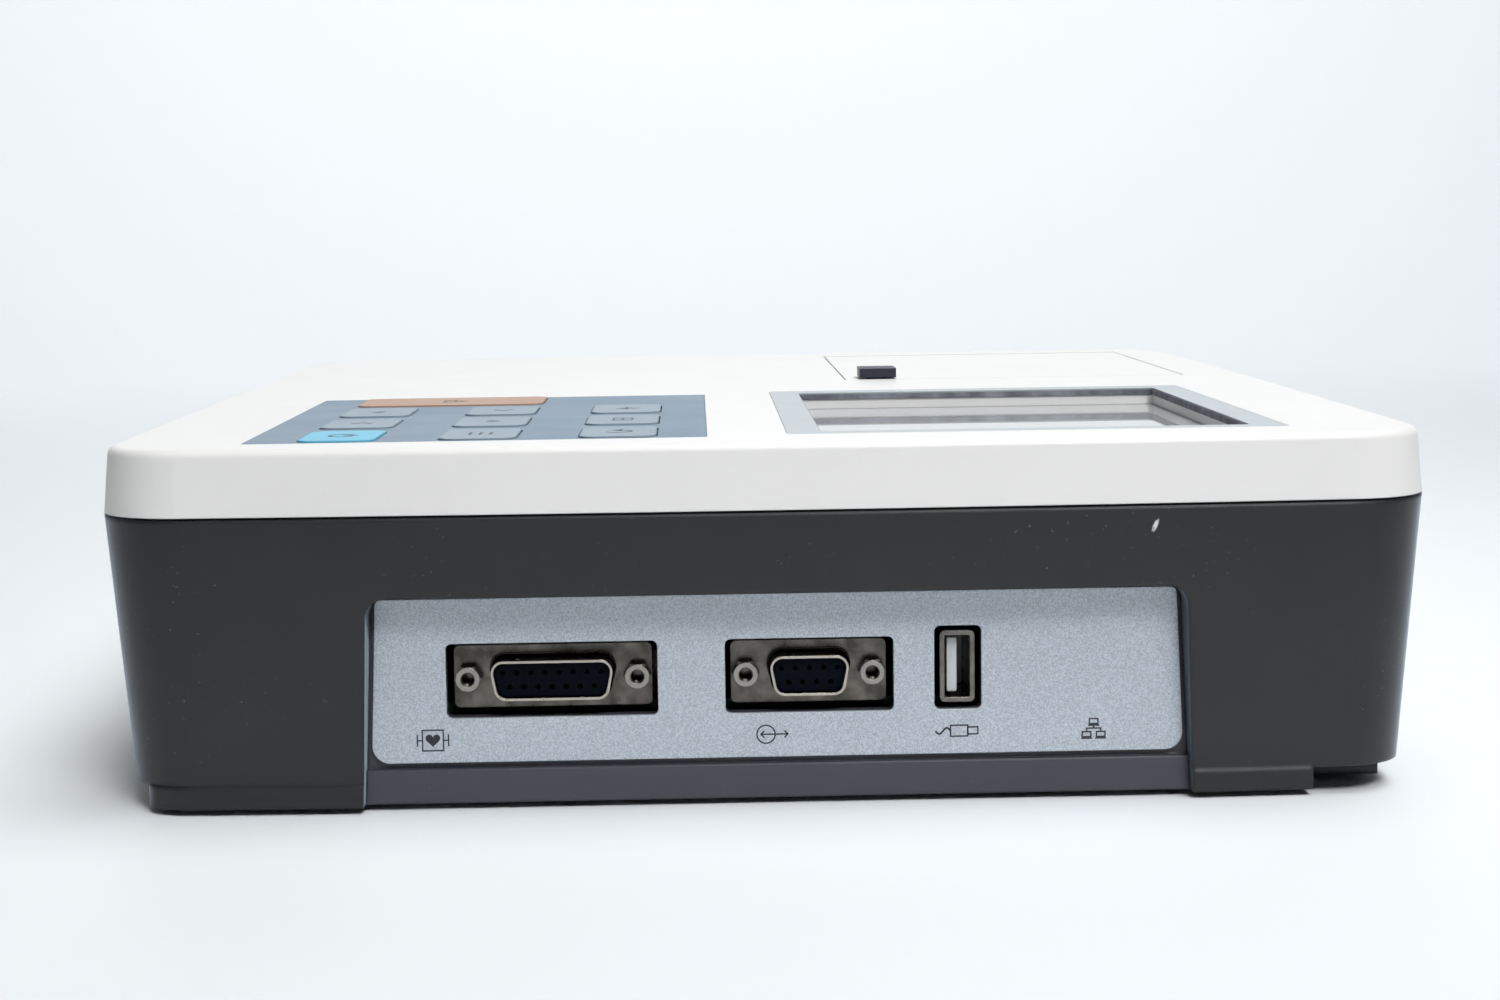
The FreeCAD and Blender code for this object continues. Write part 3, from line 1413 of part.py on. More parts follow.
def make_printer_frame():
    """The moulded cradle: two side plates, a half-round tray, a deck and a crossbar for the tear bar."""
    body = new_body("printer_frame")
    plate = polygon(
        [
            (FRAME_NEAR, FRAME_LOW),
            (FRAME_FOOT_FAR, FRAME_LOW),
            (FRAME_FAR, DECK_TOP),
            (FRAME_FAR, FRAME_TOP),
            (FRAME_NEAR, FRAME_TOP),
        ],
        "frame_radius",
    )
    tray_outer = "roll_radius + tray_gap + tray_wall"
    prism(body, "tray", "YZ", FRAME_LEFT, FRAME_RIGHT, [circle(ROLL_Y, ROLL_Z, tray_outer)])
    inner_left = f"{FRAME_LEFT} + side_plate"
    inner_right = f"{FRAME_RIGHT} - side_plate"
    prism(
        body,
        "tray_hollow",
        "YZ",
        inner_left,
        inner_right,
        [circle(ROLL_Y, ROLL_Z, "roll_radius + tray_gap")],
        cut=True,
    )
    above = span(
        f"{ROLL_Y} - 2 * roll_radius",
        f"{ROLL_Y} + 2 * roll_radius",
        ROLL_Z,
        f"{ROLL_Z} + 2 * roll_radius",
    )
    prism(body, "tray_mouth", "YZ", inner_left, inner_right, [above], cut=True)
    prism(body, "left_plate", "YZ", FRAME_LEFT, inner_left, [plate])
    prism(body, "right_plate", "YZ", inner_right, FRAME_RIGHT, [plate])
    deck_near = f"{ROLL_Y} + roll_radius + tray_gap"
    riser = span(deck_near, f"{deck_near} + tray_wall", f"{ROLL_Z} - tray_wall", DECK_TOP)
    deck = span(
        deck_near,
        f"{PLATEN_Y} - platen_radius - 2 * moving_gap",
        f"{DECK_TOP} - deck_thickness",
        DECK_TOP,
    )
    prism(body, "riser", "YZ", inner_left, inner_right, [riser])
    prism(body, "deck", "YZ", inner_left, inner_right, [deck])
    bar_top = f"{PLATEN_Z} - platen_radius - 3 * moving_gap"
    bar_far = f"{PLATEN_Y} + platen_radius + moving_gap"
    bar = span(f"{bar_far} - crossbar_depth", bar_far, f"{bar_top} - crossbar_height", bar_top)
    prism(body, "crossbar", "YZ", inner_left, inner_right, [bar])
    # Feet with screw holes, on the housing's bosses
    for side, low_x, high_x in (
        ("left", inner_left, f"{inner_left} + frame_foot_width"),
        ("right", f"{inner_right} - frame_foot_width", inner_right),
    ):
        for end, low_y, high_y in (
            ("near", FRAME_NEAR, f"{FRAME_NEAR} + frame_foot_width"),
            ("far", f"{FRAME_FOOT_FAR} - frame_foot_width", FRAME_FOOT_FAR),
        ):
            foot = span(low_x, high_x, low_y, high_y)
            prism(body, f"{side}_{end}_foot", "XY", FRAME_LOW, f"{FRAME_LOW} + deck_thickness", [foot])
    holes = circles(FRAME_SCREWS, "board_screw_radius + fit_gap")
    prism(body, "screw_holes", "XY", FRAME_LOW, f"{FRAME_LOW} + deck_thickness", holes, cut=True)
    # Open slots that the paper axle drops into, and round holes for the shafts
    half_slot = "axle_end_radius + axle_slot_gap"
    slot = span(
        f"{ROLL_Y} - ({half_slot})", f"{ROLL_Y} + {half_slot}", ROLL_Z, f"{FRAME_TOP} + roll_radius"
    )
    slot_foot = circle(ROLL_Y, ROLL_Z, half_slot)
    platen_bore = circle(PLATEN_Y, PLATEN_Z, "shaft_radius + running_gap")
    prism(body, "axle_slots", "YZ", FRAME_LEFT, FRAME_RIGHT, [slot], cut=True)
    prism(body, "round_holes", "YZ", FRAME_LEFT, FRAME_RIGHT, [slot_foot, platen_bore], cut=True)
    drive_bores = [
        circle(IDLER_Y, IDLER_Z, "idler_pin_radius"),
        circle(PINION_Y, PINION_Z, "motor_collar_radius + fit_gap"),
    ]
    prism(body, "drive_bores", "YZ", FRAME_LEFT, inner_left, drive_bores, cut=True)

    screw_set(
        "printer_screws",
        FRAME_SCREWS,
        f"{FRAME_LOW} + deck_thickness",
        False,
        "deck_thickness + 0.8 * board_screw_grip",
    )


IDLER_REACH = "gear_module * (platen_teeth + idler_teeth) / 2"
PINION_REACH = "gear_module * (idler_teeth + pinion_teeth) / 2"
IDLER_Y = f"{PLATEN_Y} + {IDLER_REACH} * cos(idler_angle)"
IDLER_Z = f"{PLATEN_Z} + {IDLER_REACH} * sin(idler_angle)"
PINION_Y = f"{IDLER_Y} + {PINION_REACH} * cos(pinion_angle)"
PINION_Z = f"{IDLER_Z} + {PINION_REACH} * sin(pinion_angle)"


def involute(angle):
    return math.tan(angle) - angle


def gear_shape(teeth, first_tooth, bore):
    """A spur gear about the X axis, with involute flanks drawn as arcs. first_tooth is one tooth's angle."""
    module, width, backlash = number("gear_module"), number("gear_width"), number("gear_backlash")
    pressure = math.radians(number("pressure_angle"))
    pitch_r = module * teeth / 2
    base_r = pitch_r * math.cos(pressure)
    tip_r = pitch_r + number("tooth_tip")
    root_r = pitch_r - number("tooth_root")
    flank_r = max(base_r, root_r) + 0.001
    half_tooth = math.pi / (2 * teeth) - backlash / (4 * pitch_r) + involute(pressure)

    def at(radius, angle):
        return FreeCAD.Vector(0, radius * math.cos(angle), radius * math.sin(angle))

    def half_at(radius):
        return half_tooth - involute(math.acos(base_r / radius))

    middle_r = (flank_r + tip_r) / 2
    edges = []
    step = 2 * math.pi / teeth
    for i in range(teeth):
        tooth = first_tooth + i * step
        low, middle, tip = half_at(flank_r), half_at(middle_r), half_at(tip_r)
        next_low = tooth + step - low
        edges.append(Part.LineSegment(at(root_r, tooth - low), at(flank_r, tooth - low)))
        edges.append(
            Part.Arc(at(flank_r, tooth - low), at(middle_r, tooth - middle), at(tip_r, tooth - tip))
        )
        edges.append(Part.Arc(at(tip_r, tooth - tip), at(tip_r, tooth), at(tip_r, tooth + tip)))
        edges.append(
            Part.Arc(at(tip_r, tooth + tip), at(middle_r, tooth + middle), at(flank_r, tooth + low))
        )
        edges.append(Part.LineSegment(at(flank_r, tooth + low), at(root_r, tooth + low)))
        edges.append(Part.Arc(at(root_r, tooth + low), at(root_r, tooth + step / 2), at(root_r, next_low)))
    wire = Part.Wire([edge.toShape() for edge in edges])
    along = FreeCAD.Vector(1, 0, 0)
    blank = Part.Face(wire).extrude(along * width)
    return blank.cut(Part.makeCylinder(bore, width, FreeCAD.Vector(0, 0, 0), along))


def make_gear(label, shape, x, y, z):
    gear = named(doc.addObject("Part::Feature", label), label)
    gear.Shape = shape
    gear.Placement = FreeCAD.Placement(FreeCAD.Vector(number(x), number(y), number(z)), FreeCAD.Rotation())


def make_drive():
    """The platen with its gear, the idler on its pin, and the motor with its pinion, all in mesh."""
    inner_left = f"{BAY_X} - platen_length / 2"
    inner_right = f"{BAY_X} + platen_length / 2"
    plate_inside = f"{FRAME_LEFT} + side_plate"
    shaft = new_body("platen_shaft")
    prism(shaft, "rod", "YZ", GEAR_X, FRAME_RIGHT, [circle(PLATEN_Y, PLATEN_Z, "shaft_radius")])
    sleeve = new_body("platen_sleeve")
    ring = [circle(PLATEN_Y, PLATEN_Z, "platen_radius"), circle(PLATEN_Y, PLATEN_Z, "shaft_radius")]
    prism(sleeve, "ring", "YZ", inner_left, inner_right, ring)
    pin = new_body("idler_pin")
    prism(pin, "rod", "YZ", GEAR_X, plate_inside, [circle(IDLER_Y, IDLER_Z, "idler_pin_radius")])

    motor = new_body("feed_motor")
    motor_axis = (PINION_Y, PINION_Z)
    motor_middle = f"{plate_inside} + motor_length / 2"
    prism(
        motor,
        "can",
        "YZ",
        plate_inside,
        f"{plate_inside} + motor_length",
        [circle(*motor_axis, "motor_radius")],
    )
    prism(motor, "collar", "YZ", FRAME_LEFT, plate_inside, [circle(*motor_axis, "motor_collar_radius")])
    bearing = [circle(*motor_axis, "motor_shaft_radius + running_gap")]
    prism(motor, "bearing", "YZ", FRAME_LEFT, motor_middle, bearing, cut=True)
    motor_shaft = new_body("motor_shaft")
    prism(
        motor_shaft,
        "rod",
        "YZ",
        GEAR_X,
        f"{motor_middle} - running_gap",
        [circle(*motor_axis, "motor_shaft_radius")],
    )

    # Each gear is turned so that its teeth meet the gaps of the one that drives it
    gears = ("platen", "idler", "pinion")
    platen_teeth, idler_teeth, pinion_teeth = (int(number(f"{gear}_teeth")) for gear in gears)
    to_idler = math.radians(number("idler_angle"))
    to_pinion = math.radians(number("pinion_angle"))
    idler_tooth = to_idler + math.pi - math.pi / idler_teeth
    ahead = (idler_tooth - to_pinion) * idler_teeth / pinion_teeth
    pinion_tooth = to_pinion + math.pi - math.pi / pinion_teeth - ahead
    idler_bore = number("idler_pin_radius + running_gap")
    platen_gear = gear_shape(platen_teeth, to_idler, number("shaft_radius"))
    idler_gear = gear_shape(idler_teeth, idler_tooth, idler_bore)
    motor_pinion = gear_shape(pinion_teeth, pinion_tooth, number("motor_shaft_radius"))
    make_gear("platen_gear", platen_gear, GEAR_X, PLATEN_Y, PLATEN_Z)
    make_gear("idler_gear", idler_gear, GEAR_X, IDLER_Y, IDLER_Z)
    make_gear("motor_pinion", motor_pinion, GEAR_X, PINION_Y, PINION_Z)


def make_print_head():
    """The ceramic head over the platen, the heat sink on the side plates, and the toothed tear bar."""
    head_low = f"{NIP_Z} + head_gap"
    sink_low = f"{head_low} + head_thickness"
    head = new_body("print_head")
    strip = rectangle(BAY_X, PLATEN_Y, "roll_width", "head_length", "overlay_radius")
    prism(head, "ceramic", "XY", head_low, sink_low, [strip])
    sink = new_body("head_heat_sink")
    block = span(
        f"{FRAME_LEFT} + fit_gap",
        f"{FRAME_RIGHT} - fit_gap",
        f"{PLATEN_Y} - head_sink_near",
        f"{PLATEN_Y} + head_sink_far",
    )
    prism(sink, "block", "XY", sink_low, f"{sink_low} + head_sink_thickness", [block])

    bar = new_body("tear_bar")
    bar_near = f"{PLATEN_Y} + platen_radius + moving_gap"
    bar_low = f"{PLATEN_Z} - platen_radius - 3 * moving_gap - crossbar_height"
    bar_high = f"{NIP_Z} - 4 * moving_gap"
    low_x, high_x = f"{BAY_X} - roll_width / 2", f"{BAY_X} + roll_width / 2"
    prism(
        bar,
        "strip",
        "XZ",
        bar_near,
        f"{bar_near} + tear_thickness",
        [span(low_x, high_x, bar_low, bar_high)],
    )
    valley = polygon(
        [
            (f"{low_x} + tear_pitch / 2", f"{bar_high} - tear_pitch / 2"),
            (f"{low_x} + tear_pitch", bar_high),
            (low_x, bar_high),
        ]
    )
    first = prism(bar, "first_valley", "XZ", bar_near, f"{bar_near} + tear_thickness", [valley], cut=True)
    row = bar.newObject("PartDesign::LinearPattern", "valleys")
    row.Originals = [first]
    row.Direction = (first.Profile[0], ["H_Axis"])
    row.setExpression("Length", formula("roll_width - tear_pitch"))
    row.setExpression("Occurrences", formula("floor(roll_width / tear_pitch)"))
    bar.Tip = row


def make_paper():
    """The paper roll on its axle, whose thin ends drop into the frame's slots."""
    roll = new_body("paper_roll")
    ring = [circle(ROLL_Y, ROLL_Z, "roll_radius"), circle(ROLL_Y, ROLL_Z, "axle_radius")]
    prism(roll, "paper", "YZ", f"{BAY_X} - roll_width / 2", f"{BAY_X} + roll_width / 2", ring)
    axle = new_body("paper_axle")
    middle = circle(ROLL_Y, ROLL_Z, "axle_radius")
    ends = circle(ROLL_Y, ROLL_Z, "axle_end_radius")
    prism(axle, "middle", "YZ", f"{BAY_X} - roll_width / 2", f"{BAY_X} + roll_width / 2", [middle])
    prism(axle, "ends", "YZ", f"{FRAME_LEFT} + moving_gap", f"{FRAME_RIGHT} - moving_gap", [ends])


def make_door():
    """The printer door with its rolled hinge edge and ribs, the hinge pin and the sliding thumb latch."""
    door = new_body("paper_door")
    panel = polygon(
        [
            (DOOR_NEAR, DOOR_LOW),
            (HINGE_Y, DOOR_LOW),
            (HINGE_Y, TOP),
            (DOOR_NEAR, TOP),
        ]
    )
    prism(door, "panel", "YZ", FRAME_LEFT, FRAME_RIGHT, [panel])
    prism(door, "barrel", "YZ", FRAME_LEFT, FRAME_RIGHT, [circle(HINGE_Y, HINGE_Z, "barrel_radius")])
    pin_bore = circle(HINGE_Y, HINGE_Z, "hinge_pin_radius + running_gap")
    prism(door, "pin_bore", "YZ", FRAME_LEFT, FRAME_RIGHT, [pin_bore], cut=True)
    rib_near = f"{DOOR_NEAR} + latch_neck_near + latch_neck_length + 3 * latch_travel"
    rib_far = f"{HINGE_Y} - 3 * barrel_radius"
    rib_low = f"{DOOR_LOW} - door_rib_height"
    rib_inset = "moving_gap + door_ledge_width"
    rib_middles = (
        f"{FRAME_LEFT} + {rib_inset} + door_rib_width",
        f"{FRAME_RIGHT} - ({rib_inset}) - door_rib_width",
    )
    ribs = [
        span(f"{x} - door_rib_width / 2", f"{x} + door_rib_width / 2", rib_near, rib_far)
        for x in rib_middles
    ]
    prism(door, "ribs", "XY", rib_low, f"{DOOR_LOW} + fit_gap", ribs)
    neck_low = f"{DOOR_NEAR} + latch_neck_near"
    neck_high = f"{neck_low} + latch_neck_length"
    slot = span(
        f"{LATCH_X} - latch_neck_width / 2 - moving_gap",
        f"{LATCH_X} + latch_neck_width / 2 + moving_gap",
        f"{neck_low} - latch_travel - moving_gap",
        f"{neck_high} + moving_gap",
    )
    prism(door, "latch_slot", "XY", f"{DOOR_LOW} - door_thickness", OUT_OF_THE_WAY, [slot], cut=True)

    pin = new_body("door_hinge_pin")
    pin_low = f"{FRAME_LEFT} - moving_gap - hinge_lug_width"
    pin_high = f"{FRAME_RIGHT} + moving_gap + hinge_lug_width"
    prism(pin, "rod", "YZ", pin_low, pin_high, [circle(HINGE_Y, HINGE_Z, "hinge_pin_radius")])

    latch = new_body("door_latch")
    thumb_near = f"{DOOR_NEAR} + latch_near"
    thumb = rectangle(
        LATCH_X, f"{thumb_near} + latch_length / 2", "latch_width", "latch_length", "latch_ridge"
    )
    thumb_low = f"{TOP} + moving_gap"
    prism(latch, "thumb_block", "XY", thumb_low, f"{TOP} + latch_proud", [thumb])
    neck = span(
        f"{LATCH_X} - latch_neck_width / 2", f"{LATCH_X} + latch_neck_width / 2", neck_low, neck_high
    )
    bolt_high = f"{DOOR_LOW} - moving_gap"
    prism(latch, "neck", "XY", bolt_high, thumb_low, [neck])
    bolt = rectangle(
        LATCH_X,
        f"{thumb_near} + moving_gap + latch_length / 2",
        "latch_width",
        "latch_length",
        "latch_ridge",
    )
    prism(latch, "bolt", "XY", f"{bolt_high} - latch_bolt_thickness", bolt_high, [bolt])
    ridges = [
        span(
            f"{LATCH_X} - latch_width / 2 + latch_ridge",
            f"{LATCH_X} + latch_width / 2 - latch_ridge",
            f"{thumb_near} + latch_length / 2 + ({step} - 0.5) * latch_ridge * 2",
            f"{thumb_near} + latch_length / 2 + {step} * latch_ridge * 2",
        )
        for step in (-2, 0, 2)
    ]
    prism(
        latch,
        "grip_grooves",
        "XY",
        f"{TOP} + latch_proud - latch_ridge",
        OUT_OF_THE_WAY,
        ridges,
        cut=True,
    )


def write_parts():
    """Checks every object and each sub-part's shape, then writes one file for each sub-part."""
    for piece in sub_parts:
        if piece.TypeId == "PartDesign::Body":
            piece.Tip.Refine = True
    doc.recompute()
    for item in doc.Objects:
        faults = {"Invalid", "Error"} & set(item.State)
        if faults:
            raise RuntimeError(f"{item.Label} ({item.Name}) is {sorted(faults)}")
    os.makedirs("parts", exist_ok=True)
    for piece in sub_parts:
        shape = piece.Shape
        if shape.isNull() or not shape.isValid() or not shape.Solids:
            raise RuntimeError(f"{piece.Label} has no valid solid")
        shape.exportStep(f"parts/{piece.Label}.step")
        print(f"{piece.Label}: {len(shape.Solids)} solid(s), {shape.Volume / 1000:.2f} cm3")


make_bottom_housing()
make_top_cover()
make_interface_panel()
make_d_socket("patient", 8)
make_d_socket("serial", 5)
make_usb_socket()
make_display()
make_keypad()
make_boards()
make_battery()
make_mains_inlet()
make_feet_and_housing_screws()
make_printer_frame()
make_drive()
make_print_head()
make_paper()
make_door()
write_parts()
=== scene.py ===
"""Dresses the desktop electrocardiograph: finishes, printed signs, contacts, threads and a plain studio."""

import logging
import math
from dataclasses import dataclass, field
from enum import Enum

import bpy
import numpy as np
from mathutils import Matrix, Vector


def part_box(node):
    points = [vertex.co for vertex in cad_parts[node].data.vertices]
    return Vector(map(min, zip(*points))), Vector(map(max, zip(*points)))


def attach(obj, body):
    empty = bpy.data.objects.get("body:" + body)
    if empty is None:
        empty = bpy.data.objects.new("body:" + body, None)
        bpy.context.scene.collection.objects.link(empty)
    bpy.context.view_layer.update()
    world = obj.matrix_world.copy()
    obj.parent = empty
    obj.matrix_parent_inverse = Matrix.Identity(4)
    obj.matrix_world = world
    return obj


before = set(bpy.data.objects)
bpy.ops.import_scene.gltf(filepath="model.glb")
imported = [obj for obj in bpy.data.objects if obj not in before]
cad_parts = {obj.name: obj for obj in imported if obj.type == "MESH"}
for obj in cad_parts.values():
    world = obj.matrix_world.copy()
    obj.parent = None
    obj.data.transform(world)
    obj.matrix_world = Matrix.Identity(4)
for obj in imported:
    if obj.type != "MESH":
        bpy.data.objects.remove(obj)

LOG = logging.getLogger("electrocardiograph")
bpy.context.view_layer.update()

Colour = tuple[float, float, float]
Point = tuple[float, float, float]
NodeSocket = bpy.types.NodeSocket

BLACK: Colour = (0.0, 0.0, 0.0)
WHITE: Colour = (1.0, 1.0, 1.0)
DUST_COLOUR: Colour = (0.62, 0.63, 0.65)
SCUFF_COLOUR: Colour = (0.75, 0.75, 0.76)
# The width of one wave of the wave texture at a scale of one, in metres
WAVE_LENGTH = 0.314


class Graph:
    """A material's node tree, with short ways to add and join its nodes."""

    def __init__(self, name: str) -> None:
        """Starts a material with one Principled shader.

        Args:
            name: the material's name.
        """
        self.material = bpy.data.materials.new(name)
        self.material.use_nodes = True
        self.tree = self.material.node_tree
        self.shader = self.tree.nodes["Principled BSDF"]
        self.place = self.add("ShaderNodeTexCoord").outputs["Object"]

    def add(self, kind: str, inputs: dict[str | int, object] | None = None) -> bpy.types.Node:
        """Adds one node.

        Args:
            kind: the node's type.
            inputs: each input's name or place with a number, a colour or a socket to join to it.

        Returns:
            The new node.
        """
        node = self.tree.nodes.new(kind)
        for key, value in (inputs or {}).items():
            self.feed(node.inputs[key], value)
        return node

    def feed(self, socket: NodeSocket, value: object) -> None:
        """Joins a socket to another, or sets it to a number or colour.

        Args:
            socket: the input to fill.
            value: an output socket, a number, or a colour of three numbers.
        """
        if isinstance(value, NodeSocket):
            self.tree.links.new(value, socket)
        elif socket.type == "RGBA":
            socket.default_value = (*value, 1.0)
        else:
            socket.default_value = value

    def shade(self, **inputs: object) -> None:
        """Fills the shader's own sockets; an underscore in a name stands for a space.

        Args:
            **inputs: each socket's name with its value.
        """
        for name, value in inputs.items():
            self.feed(self.shader.inputs[name.replace("_", " ")], value)

    def noise(self, size: float, detail: float = 3.0, stretch: Point = (1, 1, 1)) -> NodeSocket:
        """Soft noise over the piece.

        Args:
            size: the width of one blob, in metres.
            detail: how many finer layers it has.
            stretch: how much finer it is along each axis.

        Returns:
            The noise, from 0 to 1.
        """
        mapped = self.add("ShaderNodeMapping", {"Vector": self.place, "Scale": stretch}).outputs["Vector"]
        inputs = {"Vector": mapped, "Scale": 1 / size, "Detail": detail}
        return self.add("ShaderNodeTexNoise", inputs).outputs["Fac"]

    def level(self, value: NodeSocket, low: float, high: float) -> NodeSocket:
        """Spreads a 0 to 1 value between two levels.

        Args:
            value: the value to spread.
            low: what its low quarter becomes.
            high: what its high quarter becomes.

        Returns:
            The spread value.
        """
        inputs = {"Value": value, "From Min": 0.25, "From Max": 0.75, "To Min": low, "To Max": high}
        return self.add("ShaderNodeMapRange", inputs).outputs["Result"]

    def steps(self, value: NodeSocket, stops: list[tuple[float, Colour]]) -> NodeSocket:
        """Turns a 0 to 1 value into colours.

        Args:
            value: the value to turn.
            stops: each place on the ramp with its colour.

        Returns:
            The colour.
        """
        node = self.add("ShaderNodeValToRGB", {"Fac": value})
        ramp = node.color_ramp
        while len(ramp.elements) < len(stops):
            ramp.elements.new(0.5)
        for element, (position, colour) in zip(ramp.elements, stops):
            element.position = position
            element.color = (*colour, 1.0)
        return node.outputs["Color"]

    def mix(self, factor: object, first: object, second: object) -> NodeSocket:
        """Mixes two colours.

        Args:
            factor: how much of the second shows.
            first: a colour or a colour socket.
            second: a colour or a colour socket.

        Returns:
            The mixed colour.
        """
        node = self.add("ShaderNodeMix")
        node.data_type = "RGBA"
        # Of a mix node's sockets, inputs 6 and 7 and output 2 are for colours
        for place, value in ((0, factor), (6, first), (7, second)):
            self.feed(node.inputs[place], value)
        return node.outputs[2]

    def bump(self, height: NodeSocket, depth: float, under: NodeSocket | None) -> NodeSocket:
        """A surface that rises and falls with a value.

        Args:
            height: the value, from 0 to 1.
            depth: how far it rises, in metres.
            under: the normal that it is laid over, if any.

        Returns:
            The bumped normal.
        """
        inputs = {"Height": height, "Distance": depth, "Strength": 1.0}
        if under is not None:
            inputs["Normal"] = under
        return self.add("ShaderNodeBump", inputs).outputs["Normal"]

    def soft_edges(self, radius: float) -> NodeSocket:
        """The normal of edges that are rounded off by a radius in metres."""
        node = self.add("ShaderNodeBevel", {"Radius": radius})
        node.samples = 4
        return node.outputs["Normal"]


@dataclass(frozen=True)
class Finish:
    """A finish, whose material is made once and then shared."""

    name: str

    def material(self) -> bpy.types.Material:
        """The finish's material, under a title that none of the solids' own materials has."""
        title = f"{self.name}_finish"
        made = bpy.data.materials.get(title)
        if made is None:
            graph = Graph(title)
            self.draw(graph)
            made = graph.material
        return made

    def draw(self, graph: Graph) -> None:
        """Fills a material's tree.

        Args:
            graph: the tree to fill.
        """
        raise NotImplementedError


def shaded(colour: Colour, amount: float) -> Colour:
    """A colour made lighter or darker.

    Args:
        colour: the colour to start from.
        amount: what each channel is multiplied by.

    Returns:
        The new colour.
    """
    return tuple(min(1.0, channel * amount) for channel in colour)


@dataclass(frozen=True)
class MouldedPlastic(Finish):
    """Injection-moulded plastic: a fine grain, faint flow clouds, softened edges and a little dust."""

    colour: Colour
    roughness: float = 0.4
    grain: float = 0.0005
    grain_depth: float = 0.000012
    clouds: float = 0.06
    cloud_size: float = 0.04
    gloss_size: float = 0.012
    gloss_swing: float = 0.05
    dust: float = 0.0
    speck_size: float = 0.0008
    patch_size: float = 0.03
    scuff: Point | None = None
    scuff_size: Point = (0.0006, 0.004, 0.0019)
    scuff_tilt: float = 22.0
    scuff_grain: float = 0.0007
    edge: float = 0.0004
    gloss: float = 0.5
    sheen: float = 0.0
    sheen_roughness: float = 0.3
    sheen_tint: Colour = (0.66, 0.82, 1.0)

    def draw(self, graph: Graph) -> None:
        """Clouds tint the colour, grain lifts the surface, and dust and one scuff lie on top.

        The tips of a coarser grain catch light where the surface is seen edge on, as a cool sheen.

        Args:
            graph: the tree to fill.
        """
        clouds = graph.noise(self.cloud_size, 4.0)
        dark, light = shaded(self.colour, 1 - self.clouds), shaded(self.colour, 1 + self.clouds)
        colour = graph.steps(clouds, [(0.3, dark), (0.7, light)])
        if self.dust:
            most = shaded(WHITE, self.dust)
            specks = graph.steps(graph.noise(self.speck_size, 1.0), [(0.735, BLACK), (0.76, WHITE)])
            patches = graph.steps(graph.noise(self.patch_size, 2.0), [(0.45, BLACK), (0.7, most)])
            amount = graph.add("ShaderNodeVectorMath", {0: specks, 1: patches})
            amount.operation = "MULTIPLY"
            colour = graph.mix(amount.outputs["Vector"], colour, DUST_COLOUR)
        if self.scuff:
            colour = graph.mix(self.scuff_mask(graph), colour, SCUFF_COLOUR)
        dull, bright = self.roughness + self.gloss_swing, self.roughness - self.gloss_swing
        rough = graph.level(graph.noise(self.gloss_size), bright, dull)
        normal = graph.bump(graph.noise(self.grain, 2.0), self.grain_depth, graph.soft_edges(self.edge))
        graph.shade(Base_Color=colour, Roughness=rough, Normal=normal, Specular_IOR_Level=self.gloss)
        graph.shade(Sheen_Weight=self.sheen, Sheen_Roughness=self.sheen_roughness)
        graph.shade(Sheen_Tint=self.sheen_tint)

    def scuff_mask(self, graph: Graph) -> NodeSocket:
        """A small broken scratch: ragged noise inside a slim, tilted oval round the scuffed place.

        Args:
            graph: the tree to fill.

        Returns:
            The scratch's cover, from 0 to 1.
        """
        tilt = (0.0, math.radians(self.scuff_tilt), 0.0)
        shape = {"Location": self.scuff, "Rotation": tilt, "Scale": self.scuff_size}
        oval = graph.add("ShaderNodeMapping", {"Vector": graph.place, **shape})
        oval.vector_type = "TEXTURE"
        reach = graph.add("ShaderNodeVectorMath", {0: oval.outputs["Vector"]})
        reach.operation = "LENGTH"
        fade = {"Value": reach.outputs["Value"], "From Min": 0.6, "To Min": 1.0, "To Max": 0.0}
        near = graph.add("ShaderNodeMapRange", fade).outputs["Result"]
        ragged = graph.steps(graph.noise(self.scuff_grain, 2.0), [(0.40, BLACK), (0.50, WHITE)])
        cover = graph.add("ShaderNodeMath", {0: near, 1: ragged})
        cover.operation = "MULTIPLY"
        return cover.outputs["Value"]


@dataclass(frozen=True)
class GrainedFilm(Finish):
    """Printed film with a sparkling grain, such as a silver panel or a keypad overlay."""

    colour: Colour
    metallic: float = 0.0
    roughness: float = 0.45
    grain: float = 0.00022
    contrast: float = 0.12
    depth: float = 0.000006
    gloss: float = 0.4
    gloss_size: float = 0.02
    gloss_swing: float = 0.04
    edge: float = 0.00025

    def draw(self, graph: Graph) -> None:
        """Fine grain mottles the colour and lifts the surface; broad clouds vary the gloss.

        Args:
            graph: the tree to fill.
        """
        grain = graph.noise(self.grain, 2.0)
        dark, light = shaded(self.colour, 1 - self.contrast), shaded(self.colour, 1 + self.contrast)
        colour = graph.steps(grain, [(0.35, dark), (0.65, light)])
        dull, bright = self.roughness + self.gloss_swing, self.roughness - self.gloss_swing
        rough = graph.level(graph.noise(self.gloss_size), bright, dull)
        normal = graph.bump(grain, self.depth, graph.soft_edges(self.edge))
        graph.shade(Base_Color=colour, Metallic=self.metallic, Roughness=rough, Normal=normal)
        graph.shade(Specular_IOR_Level=self.gloss)


